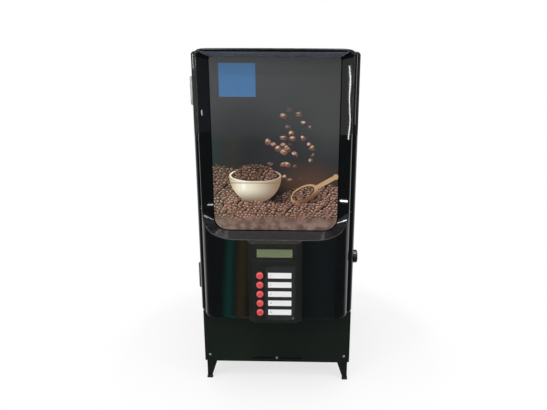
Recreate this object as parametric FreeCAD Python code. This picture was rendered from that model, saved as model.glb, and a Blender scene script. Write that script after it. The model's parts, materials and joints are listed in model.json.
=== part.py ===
import FreeCAD, Part
import math
import os

from FreeCAD import Vector

# Instant coffee machine for a counter. Front faces -Y, width along X, height along +Z.
# The origin is on the counter, under the middle of the machine. Sizes are in millimetres.

# Cabinet of folded sheet
body_width = 292.0
cabinet_front = 120.0
cabinet_rear = 188.0
cabinet_top = 628.0
leg_height = 40.0
drain_pitch = 40.0
drain_radius = 3.0
wire_hole_width = 24.0
wire_hole_depth = 14.0
wire_hole_back = 41.0
deck_height = 150.0
base_front = 149.0
sheet = 1.5
fold_radius = 3.0
frame_flange = 13.0
base_flange = 22.0
rear_flange = 12.0

# Front plate of the base
plate_gap = 0.5
plate_side_margin = 4.0
plate_chamfer = 5.0
corner_screw_inset = 11.5
corner_screw_height = 13.5
corner_screw_head = 5.6
tray_slot_half = 50.5
tray_slot_middle = 8.0
tray_slot_height = 6.2
tray_slot_size = 3.5
tray_screw_height = 8.0
tray_screw_head = 5.5

# Legs
leg_sheet = 2.0
leg_top_width = 21.0
leg_foot_width = 8.0
leg_top_depth = 36.0
leg_foot_depth = 14.0
leg_inset = 4.0
cap_wall = 1.0
cap_height = 4.5
cap_floor = 1.5

# Door moulding
door_gap = 2.0
door_bottom = 153.5
door_top = 632.0
door_wall = 3.0
door_edge_radius = 5.5
strip_depth = 38.0
strip_corner = 12.0
form_half = 135.5
form_depth = 68.0
form_bow = 3.0
form_corner = 27.0
spout_cutout_half = 62.0
spout_cutout_front = 8.0

# Picture pocket in the upper half of the door
picture_half = 112.0
picture_bottom = 320.0
picture_top = 621.5
picture_corner = 24.0
picture_top_corner = 5.0
picture_thick = 2.5
pocket_depth = 24.0
pocket_side_flare = 40.0
pocket_bottom_flare = 11.3
pocket_top_flare = 6.0
pocket_corner = 96.0
pocket_rim_radius = 1.8
picture_play = 0.3

# Control housing on the lower half of the door
housing_half = 49.0
housing_bottom = 151.5
housing_top = 307.0
housing_proud = 10.5
housing_bevel = 10.5
housing_top_bevel = 2.6
housing_bottom_bevel = 2.0
housing_wall = 2.5
housing_lip = 6.0
display_width = 64.5
display_height = 16.4
display_x = 0.0
display_z = 286.3
display_frame_width = 75.0
display_frame_height = 27.0
display_recess = 1.5
display_depth = 7.0
display_board_width = 80.0
display_board_height = 36.0
board_thick = 1.6
window_thick = 1.0

# Selection buttons and their labels
button_count = 5
button_pitch = 17.7
button_top_z = 245.3
button_x = -26.6
button_diameter = 12.6
button_proud = 4.0
button_play = 0.35
button_travel = 2.0
button_rim = 1.2
switch_size = 6.0
switch_height = 3.4
label_width = 42.0
label_height = 10.4
label_x = 9.2
label_thick = 0.6
label_plate_left = -17.5
label_plate_right = 37.0
label_plate_bottom = 158.5
label_plate_top = 262.5
label_plate_thick = 1.2

# Door hinges and lock
hinge_length = 48.0
hinge_upper_z = 545.0
hinge_lower_z = 190.0
hinge_leaf = 1.5
hinge_leaf_width = 22.0
knuckle_radius = 5.5
hinge_pin_radius = 2.0
hinge_axis_gap = 0.3
hinge_play = 0.05
knuckle_count = 5
knuckle_gap = 0.3
lock_z = 262.0
lock_set_back = 16.0
lock_head_radius = 12.5
lock_head_proud = 8.3
lock_body_radius = 8.0
lock_body_length = 19.0
lock_plug_radius = 5.5
lock_plug_recess = 1.5
lock_play = 0.06
lock_nut_radius = 11.0
lock_nut_thick = 3.0
cam_thick = 2.0
cam_length = 24.0
cam_width = 11.0
keeper_gap = 1.5

# Powder canisters, shelf and augers
canister_count = 3
canister_side_room = 8.0
canister_gap = 8.0
canister_depth = 150.0
canister_wall = 2.0
canister_height = 148.0
canister_front = 108.0
shelf_z = 392.0
shelf_lip = 14.0
flap_length = 88.0
flap_thick = 2.5
flap_pin_radius = 1.8
trough_radius = 18.0
trough_slope_rise = 34.0
auger_radius = 16.5
auger_shaft_radius = 4.0
auger_blade_pitch = 7.8
auger_blade_start = 8.0
auger_shaft_end = 10.0
auger_blade_thick = 2.0
auger_blade_turn = 60.0
auger_play = 0.05
chute_radius = 17.0
chute_wall = 2.0
chute_drop = 26.0
motor_upstand_height = 64.0
gear_box_size = 44.0
gear_box_depth = 24.0
gear_motor_radius = 15.0
gear_motor_length = 36.0

# Mixing bowls and whippers
bulkhead_set_back = 56.0
bulkhead_foot = 12.0
bowl_axis_z = 282.0
bowl_radius = 24.0
bowl_depth = 34.0
bowl_wall = 2.0
bowl_funnel_top = 352.0
bowl_funnel_radius = 40.0
bowl_play = 1.0
bowl_neck_radius = 15.0
whipper_radius = 18.0
whipper_vanes = 6
whipper_hub_radius = 6.0
whipper_hub_length = 12.0
vane_depth = 10.0
vane_thick = 1.6
whipper_shaft_radius = 3.0
whipper_play = 0.05
whip_motor_radius = 18.0
whip_motor_length = 44.0
whip_plate_half = 22.0
bowl_spout_radius = 5.5
bowl_spout_wall = 1.5
bowl_spout_length = 12.0

# Dispensing head and hoses
nozzle_y = 166.0
nozzle_half = 34.0
nozzle_depth = 22.0
nozzle_above_deck = 10.0
nozzle_height = 18.0
nozzle_pitch = 20.0
nozzle_tip = 6.0
hose_radius = 4.5
hose_wall = 1.2
feed_hose_radius = 5.0
bracket_width = 60.0
bracket_sheet = 2.0
bracket_rib_height = 20.0
bracket_rib_reach = 40.0

# Boiler and water parts
boiler_left = 128.0
boiler_width = 150.0
boiler_front = 10.0
boiler_depth = 100.0
boiler_height = 120.0
boiler_wall = 1.5
boiler_corner = 12.0
boiler_foot = 8.0
heater_radius = 4.0
heater_loop = 24.0
heater_reach = 112.0
heater_flange_radius = 22.0
valve_pitch = 42.0
valve_body = 22.0
valve_height = 18.0
valve_coil_radius = 11.0
valve_coil_height = 30.0
valve_spout = 4.0
valve_hose_lead = 14.0
probe_radius = 3.0
probe_head_radius = 8.0
probe_inset = 30.0
probe_reach = 60.0
pump_lift = 14.0
pump_x = 62.0
pump_y = 40.0
pump_body_radius = 24.0
pump_length = 62.0
pump_head = 46.0
inlet_x = 62.0
inlet_z = 92.0
inlet_radius = 8.3
inlet_reach = 16.5
inlet_bore = 5.0

# Electrical parts
transformer_x = -70.0
transformer_y = 40.0
transformer_width = 72.0
transformer_depth = 60.0
transformer_height = 62.0
board_length = 140.0
board_height = 110.0
board_y = 150.0
board_z = 330.0
standoff_length = 8.0
fan_size = 80.0
fan_depth = 25.0
fan_x = 40.0
fan_below_top = 88.0
fan_hub_radius = 16.0
fan_blades = 7
fan_play = 1.2
fan_pin_radius = 2.0
socket_x = -98.0
socket_z = 100.0
socket_width = 27.0
socket_height = 20.0
socket_depth = 18.0
rocker_x = -50.0
rocker_z = 100.0
rocker_width = 19.0
rocker_height = 13.0
rocker_depth = 14.0
rocker_swing = 12.0
rocker_play = 0.3
flange_margin = 4.0
flange_thick = 2.0
pin_set_back = 5.0

# Rear panel
vent_rows = 9
vent_columns = 3
vent_length = 46.0
vent_slot = 4.0
vent_pitch = 10.0
vent_column_pitch = 62.0
vent_z = 250.0
rear_screw_head = 7.0
rear_screw_inset = 7.0

half = body_width / 2.0
y_joint = -(cabinet_front + door_gap)
y_strip = y_joint - strip_depth
y_form = y_joint - form_depth
y_housing = y_form - housing_proud
y_picture = y_form + pocket_depth
y_pocket = y_picture + picture_thick
y_base = -base_front
y_rear_inner = cabinet_rear - sheet
fan_z = cabinet_top - fan_below_top
canister_pitch = (body_width - 2 * canister_side_room) / canister_count
canister_width = canister_pitch - canister_gap
nozzle_bottom = deck_height + nozzle_above_deck
nozzle_top = nozzle_bottom + nozzle_height
x_hinge = -(half + knuckle_radius + hinge_axis_gap)
y_hinge = y_joint + door_gap / 2.0


def block(x0, x1, y0, y1, z0, z1):
    """Box from its low and high corners."""
    return Part.makeBox(x1 - x0, y1 - y0, z1 - z0, Vector(x0, y0, z0))


def rod(start, direction, radius, length):
    """Round bar from a point along a direction."""
    return Part.makeCylinder(radius, length, Vector(*start), Vector(*direction))


def tube(start, direction, outer, inner, length):
    """Round tube from a point along a direction."""
    return rod(start, direction, outer, length).cut(rod(start, direction, inner, length))


def joined(shapes):
    """One shape from overlapping shapes, with the seams between them removed."""
    first = shapes[0]
    if len(shapes) == 1:
        return first
    return first.fuse(shapes[1:]).removeSplitter()


def cut_all(shape, tools):
    """The shape with every tool taken away."""
    return shape.cut(Part.makeCompound(tools)) if tools else shape


def outline(points):
    """Closed face from points."""
    corners = [Vector(*p) for p in points]
    return Part.Face(Part.makePolygon(corners + [corners[0]]))


def flat_prism(points, direction):
    """Solid from a flat outline pushed along a direction."""
    return outline(points).extrude(Vector(*direction))


def arc(start, middle, end):
    """Edge of an arc through three points."""
    return Part.Arc(Vector(*start), Vector(*middle), Vector(*end)).toShape()


def line(start, end):
    """Straight edge between two points."""
    return Part.LineSegment(Vector(*start), Vector(*end)).toShape()


def upright_edges(shape, y_limit):
    """Vertical edges that lie in front of a depth."""
    found = []
    for edge in shape.Edges:
        box = edge.BoundBox
        if box.XLength < 0.01 and box.YLength < 0.01 and box.YMax < y_limit:
            found.append(edge)
    return found


def level_edges(shape, z, y_limit):
    """Edges at a height whose middle lies in front of a depth."""
    found = []
    for edge in shape.Edges:
        box = edge.BoundBox
        if box.ZLength < 0.01 and abs(box.ZMin - z) < 0.01 and box.YMin < y_limit:
            found.append(edge)
    return found


def bowed_prism(half_width, y_back, y_front, bow, z0, z1, corner, edge_radius):
    """Upright form with a bowed front, round front corners and eased top and bottom edges."""
    left_back = (-half_width, y_back, z0)
    left_front = (-half_width, y_front + bow, z0)
    right_front = (half_width, y_front + bow, z0)
    right_back = (half_width, y_back, z0)
    edges = [line(left_back, left_front)]
    if bow > 0:
        edges.append(arc(left_front, (0, y_front, z0), right_front))
    else:
        edges.append(line(left_front, right_front))
    edges.append(line(right_front, right_back))
    edges.append(line(right_back, left_back))
    solid = Part.Face(Part.Wire(edges)).extrude(Vector(0, 0, z1 - z0))
    solid = solid.makeFillet(corner, upright_edges(solid, y_back - 1.0))
    if edge_radius > 0:
        ring = level_edges(solid, z1, y_back - 1.0) + level_edges(solid, z0, y_back - 1.0)
        solid = solid.makeFillet(edge_radius, ring)
    return solid


def rounded_wire(half_width, z0, z1, low_radius, high_radius, y):
    """Upright rectangle with round corners at a depth, starting at its lower left."""
    k = math.sqrt(0.5)
    low_l = (-half_width + low_radius, z0 + low_radius)
    low_r = (half_width - low_radius, z0 + low_radius)
    high_r = (half_width - high_radius, z1 - high_radius)
    high_l = (-half_width + high_radius, z1 - high_radius)

    def on(centre, radius, dx, dz):
        return (centre[0] + radius * dx, y, centre[1] + radius * dz)

    return Part.Wire([
        line(on(low_l, low_radius, 0, -1), on(low_r, low_radius, 0, -1)),
        arc(on(low_r, low_radius, 0, -1), on(low_r, low_radius, k, -k), on(low_r, low_radius, 1, 0)),
        line(on(low_r, low_radius, 1, 0), on(high_r, high_radius, 1, 0)),
        arc(on(high_r, high_radius, 1, 0), on(high_r, high_radius, k, k), on(high_r, high_radius, 0, 1)),
        line(on(high_r, high_radius, 0, 1), on(high_l, high_radius, 0, 1)),
        arc(on(high_l, high_radius, 0, 1), on(high_l, high_radius, -k, k), on(high_l, high_radius, -1, 0)),
        line(on(high_l, high_radius, -1, 0), on(low_l, low_radius, -1, 0)),
        arc(on(low_l, low_radius, -1, 0), on(low_l, low_radius, -k, -k), on(low_l, low_radius, 0, -1)),
    ])


def bent_tube(points, radius, bore):
    """Hose along a route of straight runs joined by tangent arcs."""
    route = [Vector(*p) for p in points]
    edges = []
    here = route[0]
    for index in range(1, len(route) - 1):
        before = route[index - 1] - route[index]
        after = route[index + 1] - route[index]
        shorter = min(before.Length, after.Length)
        before.normalize()
        after.normalize()
        reach = 0.45 * shorter
        start = route[index] + before * reach
        end = route[index] + after * reach
        opening = before.getAngle(after)
        bend = reach * math.tan(opening / 2.0)
        inward = before + after
        inward.normalize()
        centre = route[index] + inward * (bend / math.sin(opening / 2.0))
        middle = centre - inward * bend
        edges.append(Part.LineSegment(here, start).toShape())
        edges.append(Part.Arc(start, middle, end).toShape())
        here = end
    edges.append(Part.LineSegment(here, route[-1]).toShape())
    path = Part.Wire(edges)
    direction = route[1] - route[0]
    solids = []
    for size in (radius, bore):
        if size > 0:
            profile = Part.Wire(Part.makeCircle(size, route[0], direction))
            solids.append(path.makePipeShell([profile], True, False))
    if len(solids) == 2:
        return solids[0].cut(solids[1])
    return solids[0]


def cabinet_wrap():
    """Both sides and the top in one folded sheet, with flanges round each opening."""
    def shell(inset):
        side = [
            (-(half - inset), y_base + sheet + inset, leg_height),
            (-(half - inset), y_base + sheet + inset, deck_height - inset),
            (-(half - inset), -(cabinet_front - inset), deck_height - inset),
            (-(half - inset), -(cabinet_front - inset), cabinet_top - inset),
            (-(half - inset), y_rear_inner - inset, cabinet_top - inset),
            (-(half - inset), y_rear_inner - inset, leg_height),
        ]
        return flat_prism(side, (2 * (half - inset), 0, 0))

    outer = shell(0.0)
    folds = upright_edges(outer, cabinet_rear + 1.0)
    outer = outer.makeFillet(fold_radius, folds)
    body = outer.cut(shell(sheet))
    inner = half - sheet
    door_hole = block(-(half - frame_flange), half - frame_flange, -cabinet_front - 1,
                      -cabinet_front + sheet + 1,
                      deck_height, cabinet_top - frame_flange)
    base_hole = block(-(half - base_flange), half - base_flange, y_base, y_base + 2 * sheet + 1,
                      leg_height - 1, deck_height + 1)
    rear_hole = block(-(half - rear_flange), half - rear_flange, y_rear_inner - sheet - 1, cabinet_rear + 1,
                      leg_height - 1, cabinet_top - rear_flange)
    bottom_hole = block(-inner, inner, y_base + 2 * sheet, y_rear_inner - sheet, leg_height - 1,
                        leg_height + sheet)
    ledge_hole = block(-inner, inner, y_base + 2 * sheet, -cabinet_front + sheet + 0.01,
                       deck_height - sheet - 1, deck_height + 1)
    side_ledge = block(-half - 1, half + 1, y_base, -cabinet_front, deck_height - sheet, deck_height + 1)
    return cut_all(body, [door_hole, base_hole, rear_hole, bottom_hole, ledge_hole, side_ledge])


def base_pan():
    """Tray that closes the bottom, with a low upstand on each side."""
    inner = half - sheet
    y0 = y_base + 2 * sheet
    y1 = y_rear_inner - sheet
    pan = block(-inner, inner, y0, y1, leg_height, leg_height + 12.0)
    room = block(-inner + sheet, inner - sheet, y0 + sheet, y1 - sheet, leg_height + sheet,
                 leg_height + 13.0)
    drains = [rod((x, 0, leg_height - 1), (0, 0, 1), drain_radius, sheet + 2)
              for x in (-drain_pitch, 0.0, drain_pitch)]
    return cut_all(pan, [room] + drains)


def base_front_plate():
    """Removable plate across the base, with a slot for a cup tray and holes for its screws."""
    wide = half - plate_side_margin
    low = leg_height
    high = deck_height - sheet - plate_gap
    c = plate_chamfer
    plate = flat_prism([
        (-wide + c, y_base, low), (wide - c, y_base, low), (wide, y_base, low + c),
        (wide, y_base, high), (-wide, y_base, high), (-wide, y_base, low + c),
    ], (0, sheet, 0))
    slots = []
    for side in (-1, 1):
        x0, x1 = sorted((side * tray_slot_middle, side * tray_slot_half))
        slots.append(block(x0, x1, y_base - 1, y_base + sheet + 1,
                           low + tray_slot_height, low + tray_slot_height + tray_slot_size))
    return cut_all(plate, slots)


def rear_panel():
    """Back of the cabinet, with vent slots, the fan opening and the holes of the rear fittings."""
    inner = half - plate_side_margin
    plate = block(-inner, inner, y_rear_inner, cabinet_rear, leg_height, cabinet_top - plate_side_margin)
    tools = []
    for column in range(vent_columns):
        x = (column - (vent_columns - 1) / 2.0) * vent_column_pitch
        for row in range(vent_rows):
            z = vent_z + row * vent_pitch
            tools.append(block(x - vent_length / 2.0, x + vent_length / 2.0, y_rear_inner - 1,
                               cabinet_rear + 1, z, z + vent_slot))
    for ring in range(3):
        r = fan_size / 2.0 - 4.0 - ring * 9.0
        hoop = tube((fan_x, y_rear_inner - 1, fan_z), (0, 1, 0), r, r - 6.0, sheet + 2)
        spokes = [
            block(fan_x - fan_size / 2.0, fan_x + fan_size / 2.0, y_rear_inner - 2, cabinet_rear + 2,
                  fan_z - 2, fan_z + 2),
            block(fan_x - 2, fan_x + 2, y_rear_inner - 2, cabinet_rear + 2,
                  fan_z - fan_size / 2.0, fan_z + fan_size / 2.0),
        ]
        tools.append(cut_all(hoop, spokes))
    tools.append(block(socket_x - socket_width / 2.0, socket_x + socket_width / 2.0, y_rear_inner - 1,
                       cabinet_rear + 1, socket_z - socket_height / 2.0, socket_z + socket_height / 2.0))
    tools.append(block(rocker_x - rocker_width / 2.0, rocker_x + rocker_width / 2.0, y_rear_inner - 1,
                       cabinet_rear + 1, rocker_z - rocker_height / 2.0, rocker_z + rocker_height / 2.0))
    tools.append(rod((inlet_x, y_rear_inner - 1, inlet_z), (0, 1, 0), inlet_radius - 2.0, sheet + 2))
    return cut_all(plate, tools)


def panel_screws():
    """Screws of the base's front plate, with crossed heads, and of the rear panel."""
    solids = []
    spots = [(side * (half - corner_screw_inset), leg_height + corner_screw_height, corner_screw_head)
             for side in (-1, 1)]
    spots.append((0.0, leg_height + tray_screw_height, tray_screw_head))
    for x, z, head in spots:
        dome = Part.makeSphere(head * 0.62, Vector(x, y_base + head * 0.26, z))
        ring = rod((x, y_base - head * 0.36, z), (0, 1, 0), head / 2.0, head * 0.36)
        cross = [
            block(x - head * 0.3, x + head * 0.3, y_base - head, y_base - head * 0.2, z - 0.45, z + 0.45),
            block(x - 0.45, x + 0.45, y_base - head, y_base - head * 0.2, z - head * 0.3, z + head * 0.3),
        ]
        solids.append(cut_all(ring.common(dome), cross))
    low = leg_height + 20.0
    high = cabinet_top - 30.0
    for side in (-1, 1):
        for row in range(4):
            z = low + (high - low) * row / 3.0
            x = side * (half - plate_side_margin - rear_screw_inset)
            solids.append(Part.makeCone(rear_screw_head / 2.0, rear_screw_head / 3.2, 2.2,
                                        Vector(x, cabinet_rear, z), Vector(0, 1, 0)))
    return Part.makeCompound(solids)


def deck_plate():
    """Sheet between the base and the upper cabinet, with holes for the hoses."""
    inner = half - sheet
    plate = block(-inner, inner, y_base + sheet, y_rear_inner - sheet, deck_height - sheet, deck_height)
    tools = [
        rod((pump_x, pump_y, deck_height - sheet - 1), (0, 0, 1), feed_hose_radius + 3.0, sheet + 2),
        block(-wire_hole_width / 2.0, wire_hole_width / 2.0, y_rear_inner - wire_hole_back - wire_hole_depth,
              y_rear_inner - wire_hole_back, deck_height - sheet - 1, deck_height + 1),
    ]
    for x0, x1 in ((-inner - 1, -inner + frame_flange), (inner - frame_flange, inner + 1)):
        tools.append(block(x0, x1, -cabinet_front - 2, -cabinet_front + sheet,
                           deck_height - sheet - 1, deck_height + 1))
    for x0, x1 in ((-inner - 1, -inner + base_flange), (inner - base_flange, inner + 1)):
        tools.append(block(x0, x1, y_base, y_base + 2 * sheet, deck_height - sheet - 1, deck_height + 1))
    return cut_all(plate, tools)


def legs():
    """Four tapered angle legs under the corners of the base."""
    solids = []
    outer_x = half - leg_inset
    y_front = y_base + 2 * sheet
    y_back = y_rear_inner - sheet
    for side in (-1, 1):
        for y, inward in ((y_front, 1), (y_back, -1)):
            x = side * outer_x
            face = flat_prism([
                (x, y, leg_height), (x - side * leg_top_width, y, leg_height),
                (x - side * leg_foot_width, y, cap_floor), (x, y, cap_floor),
            ], (0, inward * leg_sheet, 0))
            flank = flat_prism([
                (x, y, leg_height), (x, y + inward * leg_top_depth, leg_height),
                (x, y + inward * leg_foot_depth, cap_floor), (x, y, cap_floor),
            ], (-side * leg_sheet, 0, 0))
            solids.append(face.fuse(flank).removeSplitter())
    return Part.makeCompound(solids)


def leg_caps():
    """Rubber boot on the foot of each leg."""
    solids = []
    w = cap_wall
    outer_x = half - leg_inset
    y_front = y_base + 2 * sheet
    y_back = y_rear_inner - sheet
    for side in (-1, 1):
        for y, inward in ((y_front, 1), (y_back, -1)):
            xs = sorted((side * (outer_x + w), side * (outer_x - leg_foot_width - 2 * w)))
            ys = sorted((y - inward * w, y + inward * (leg_sheet + w)))
            shoe = block(xs[0], xs[1], ys[0], ys[1], 0, cap_height)
            xs = sorted((side * (outer_x + w), side * (outer_x - leg_sheet - w)))
            ys = sorted((y - inward * w, y + inward * (leg_foot_depth + 2 * w)))
            shoe = shoe.fuse(block(xs[0], xs[1], ys[0], ys[1], 0, cap_height)).removeSplitter()
            solids.append(shoe)
    return cut_all(Part.makeCompound(solids), [legs()])


def pocket_tool(grow, floor_y):
    """Flared cutter of the picture pocket, from its floor to past the front."""
    front = y_form - 6.0
    t = (floor_y - front) / pocket_depth
    near = rounded_wire(picture_half + grow, picture_bottom - grow, picture_top + grow,
                        picture_corner + grow, picture_top_corner + grow, floor_y)
    far = rounded_wire(picture_half + grow + pocket_side_flare * t,
                       picture_bottom - grow - pocket_bottom_flare * t,
                       picture_top + grow + pocket_top_flare * t,
                       pocket_corner + grow, picture_top_corner + grow, front)
    return Part.makeLoft([near, far], True, True)


def pocket_rim(body):
    """Edges where the flared pocket meets the front of the moulding."""
    rim = []
    for edge in body.Edges:
        kinds = sorted(face.Surface.TypeId for face in body.Faces if any(edge.isSame(e) for e in face.Edges))
        if kinds == ["Part::GeomBSplineSurface", "Part::GeomCylinder"]:
            rim.append(edge)
    return rim


def door_form(inset):
    """Filled outer shape of the door, or its hollow when it is inset by the wall."""
    open_back = 1.0 if inset > 0 else 0.0
    edge = door_edge_radius - inset if inset > 0 else door_edge_radius
    strip = bowed_prism(half - inset, y_joint + open_back, y_strip + inset, 0.0,
                        door_bottom + inset, door_top - inset, strip_corner - inset, max(edge, 0.8))
    form = bowed_prism(form_half - inset, y_joint + open_back, y_form + inset, form_bow,
                       door_bottom + inset, door_top - inset, form_corner - inset, max(edge, 0.8))
    body = strip.fuse(form).cut(pocket_tool(inset, y_pocket + inset))
    if inset > 0:
        return body
    return body.makeFillet(pocket_rim_radius, pocket_rim(body))


def door_shell():
    """Moulded door: side strips, bowed lower face, pillars and the pocket of the picture."""
    body = door_form(0.0).cut(door_form(door_wall))
    spout = block(-spout_cutout_half, spout_cutout_half, y_form + spout_cutout_front, y_joint + 1,
                  door_bottom - 1, door_bottom + door_wall + 1)
    window = block(-(housing_half - housing_bevel), housing_half - housing_bevel,
                   y_form - 2, y_form + form_bow + door_wall + 4,
                   housing_bottom + housing_lip, housing_top - housing_lip)
    lock = rod((half - door_wall - 1, y_joint - lock_set_back, lock_z), (1, 0, 0),
               lock_body_radius + lock_play, door_wall + 2)
    return cut_all(body, [spout, window, lock])


def picture_panel():
    """Printed panel that lies on the floor of the pocket."""
    g = -picture_play
    wire = rounded_wire(picture_half + g, picture_bottom - g, picture_top + g, picture_corner,
                        picture_top_corner, y_picture)
    return Part.Face(wire).extrude(Vector(0, picture_thick, 0))


def housing_block(y_back, shrink):
    """Bevelled block of the control housing, or its hollow when shrunk by the wall."""
    bevel_back = y_housing + housing_bevel
    front = rounded_wire(housing_half - housing_bevel - shrink,
                         housing_bottom + housing_bottom_bevel + shrink,
                         housing_top - housing_top_bevel - shrink, 2.0, 2.0, y_housing + shrink)
    back = rounded_wire(housing_half - shrink, housing_bottom + shrink, housing_top - shrink, 3.0, 3.0,
                        bevel_back)
    tail = Part.Face(back).extrude(Vector(0, y_back - bevel_back, 0))
    return Part.makeLoft([front, back], True, True).fuse(tail).removeSplitter()


def button_places():
    """Centre of each selection button, from the top down."""
    return [(button_x, button_top_z - row * button_pitch) for row in range(button_count)]


def control_housing():
    """Bevelled bezel of the controls, open at the back, seated on the bowed face of the door."""
    body = housing_block(y_form + form_bow, 0.0).cut(door_form(0.0))
    room = housing_block(y_form + form_bow + 1, housing_wall)
    inner = housing_half - housing_bevel - housing_wall
    room = room.common(block(-inner, inner, y_housing, y_form + form_bow + 2,
                             housing_bottom + housing_lip, housing_top - housing_lip))
    tools = [room]
    tools.append(block(display_x - display_width / 2.0, display_x + display_width / 2.0,
                       y_housing - 1, y_housing + housing_wall + 1,
                       display_z - display_height / 2.0, display_z + display_height / 2.0))
    tools.append(block(display_x - display_frame_width / 2.0, display_x + display_frame_width / 2.0,
                       y_housing - 1, y_housing + display_recess,
                       display_z - display_frame_height / 2.0, display_z + display_frame_height / 2.0))
    tools.append(block(label_plate_left, label_plate_right, y_housing - 1, y_housing + label_plate_thick,
                       label_plate_bottom, label_plate_top))
    for x, z in button_places():
        tools.append(rod((x, y_housing - 1, z), (0, 1, 0), button_diameter / 2.0 + button_play,
                         housing_wall + 2))
    return cut_all(body, tools)


def display_window():
    """Clear window over the display, in the frame's recess."""
    g = picture_play
    return block(display_x - display_frame_width / 2.0 + g, display_x + display_frame_width / 2.0 - g,
                 y_housing + display_recess - window_thick, y_housing + display_recess,
                 display_z - display_frame_height / 2.0 + g, display_z + display_frame_height / 2.0 - g)


def display_module():
    """Character display behind the housing's window, on its circuit board."""
    y0 = y_housing + housing_wall
    glass = block(display_x - display_width / 2.0 - 1.5, display_x + display_width / 2.0 + 1.5, y0,
                  y0 + display_depth - board_thick,
                  display_z - display_frame_height / 2.0 + 1, display_z + display_frame_height / 2.0 - 1)
    inner = housing_half - housing_bevel - housing_wall - picture_play
    width = min(display_board_width / 2.0, inner)
    high = min(display_z + display_board_height / 2.0, housing_top - housing_lip - picture_play)
    board = block(-width, width, y0 + display_depth - board_thick, y0 + display_depth,
                  high - display_board_height, high)
    return glass.fuse(board)


def label_plate():
    """Plate that backs the five labels."""
    g = picture_play
    return block(label_plate_left + g, label_plate_right - g, y_housing, y_housing + label_plate_thick,
                 label_plate_bottom + g, label_plate_top - g)


def labels():
    """Five label cards, one beside each button."""
    solids = []
    for _, z in button_places():
        solids.append(block(label_x - label_width / 2.0, label_x + label_width / 2.0,
                            y_housing - label_thick, y_housing,
                            z - label_height / 2.0, z + label_height / 2.0))
    return Part.makeCompound(solids)


def button(x, z):
    """Domed push button, with a rim inside the housing that keeps it in."""
    r = button_diameter / 2.0
    back = y_housing + housing_wall + button_travel + button_play + 1.6
    stem = rod((x, y_housing - button_proud, z), (0, 1, 0), r, back - y_housing + button_proud)
    stem = stem.makeFillet(2.4, [e for e in stem.Edges if e.BoundBox.YLength < 0.01
                                 and e.BoundBox.YMin < y_housing - button_proud + 0.01])
    rim = rod((x, y_housing + housing_wall + picture_play, z), (0, 1, 0), r + button_rim, 1.2)
    inner = housing_half - housing_bevel - housing_wall - picture_play
    rim = rim.common(block(-inner, inner, y_housing, y_form, z - 2 * r, z + 2 * r))
    mark = tube((x, y_housing - button_proud - 1, z), (0, 1, 0), 2.6, 1.5, 1.4)
    return stem.fuse(rim).removeSplitter().cut(mark)


def switch_board():
    """Circuit board of the buttons, with a tactile switch behind each."""
    button_back = y_housing + housing_wall + button_travel + button_play + 1.6
    y0 = button_back + button_travel + switch_height + 0.3
    inner = housing_half - housing_bevel - housing_wall - picture_play
    low = housing_bottom + housing_lip + picture_play
    high = display_z - display_board_height / 2.0 - 4.0
    solid = block(-inner, inner, y0, y0 + board_thick, low, high)
    for x, z in button_places():
        s = switch_size / 2.0
        solid = solid.fuse(block(x - s, x + s, y0 - switch_height, y0, z - s, z + s))
    for dx in (-20.0, -8.0, 4.0, 16.0):
        solid = solid.fuse(block(dx + 8, dx + 16, y0 + board_thick, y0 + board_thick + 2.0, low + 8,
                                 low + 30))
    return solid


def knuckle_slices():
    """Start height and length of each hinge knuckle, from the hinge's foot."""
    slice_length = hinge_length / knuckle_count
    return [(index * slice_length, slice_length - knuckle_gap) for index in range(knuckle_count)]


def hinge_leaf_set(own, y_direction, wall_x):
    """Both leaves of one side of the hinges, with every second knuckle."""
    solids = []
    for z in (hinge_lower_z, hinge_upper_z):
        y_far = y_hinge + y_direction * hinge_leaf_width
        y_near = y_hinge + y_direction * (knuckle_radius + knuckle_gap)
        y0, y1 = sorted((y_near, y_far))
        shape = block(wall_x - hinge_leaf, wall_x, y0, y1, z, z + hinge_length - knuckle_gap)
        heads = []
        for index, (start, length) in enumerate(knuckle_slices()):
            if index % 2 != own:
                continue
            knuckle = rod((x_hinge, y_hinge, z + start), (0, 0, 1), knuckle_radius, length)
            y0, y1 = sorted((y_hinge, y_near + y_direction * 0.5))
            strap = block(wall_x - hinge_leaf, wall_x, y0, y1, z + start, z + start + length)
            shape = shape.fuse([knuckle, strap])
        bore = rod((x_hinge, y_hinge, z - 1), (0, 0, 1), hinge_pin_radius + hinge_play, hinge_length + 2)
        shape = shape.removeSplitter().cut(bore)
        for start in (0.25, 0.75):
            spot = (wall_x - hinge_leaf, y_hinge + y_direction * hinge_leaf_width * 0.68,
                    z + hinge_length * start)
            heads.append(Part.makeCone(3.0, 2.0, 1.4, Vector(*spot), Vector(-1, 0, 0)))
        solids.append(shape.fuse(heads))
    return Part.makeCompound(solids)


def hinge_cabinet_leaves():
    """Leaves on the side of the cabinet."""
    return hinge_leaf_set(0, 1, -half)


def hinge_door_leaves():
    """Leaves on the side of the door."""
    return hinge_leaf_set(1, -1, -half)


def hinge_pins():
    """Pin of each hinge, with a head at both ends."""
    solids = []
    for z in (hinge_lower_z, hinge_upper_z):
        pin = rod((x_hinge, y_hinge, z - knuckle_gap), (0, 0, 1), hinge_pin_radius,
                  hinge_length + knuckle_gap)
        low = rod((x_hinge, y_hinge, z - knuckle_gap - 1.2), (0, 0, 1), knuckle_radius - 1.0, 1.2)
        high = rod((x_hinge, y_hinge, z + hinge_length), (0, 0, 1), knuckle_radius - 1.0, 1.2)
        solids.append(pin.fuse([low, high]).removeSplitter())
    return Part.makeCompound(solids)


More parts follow.
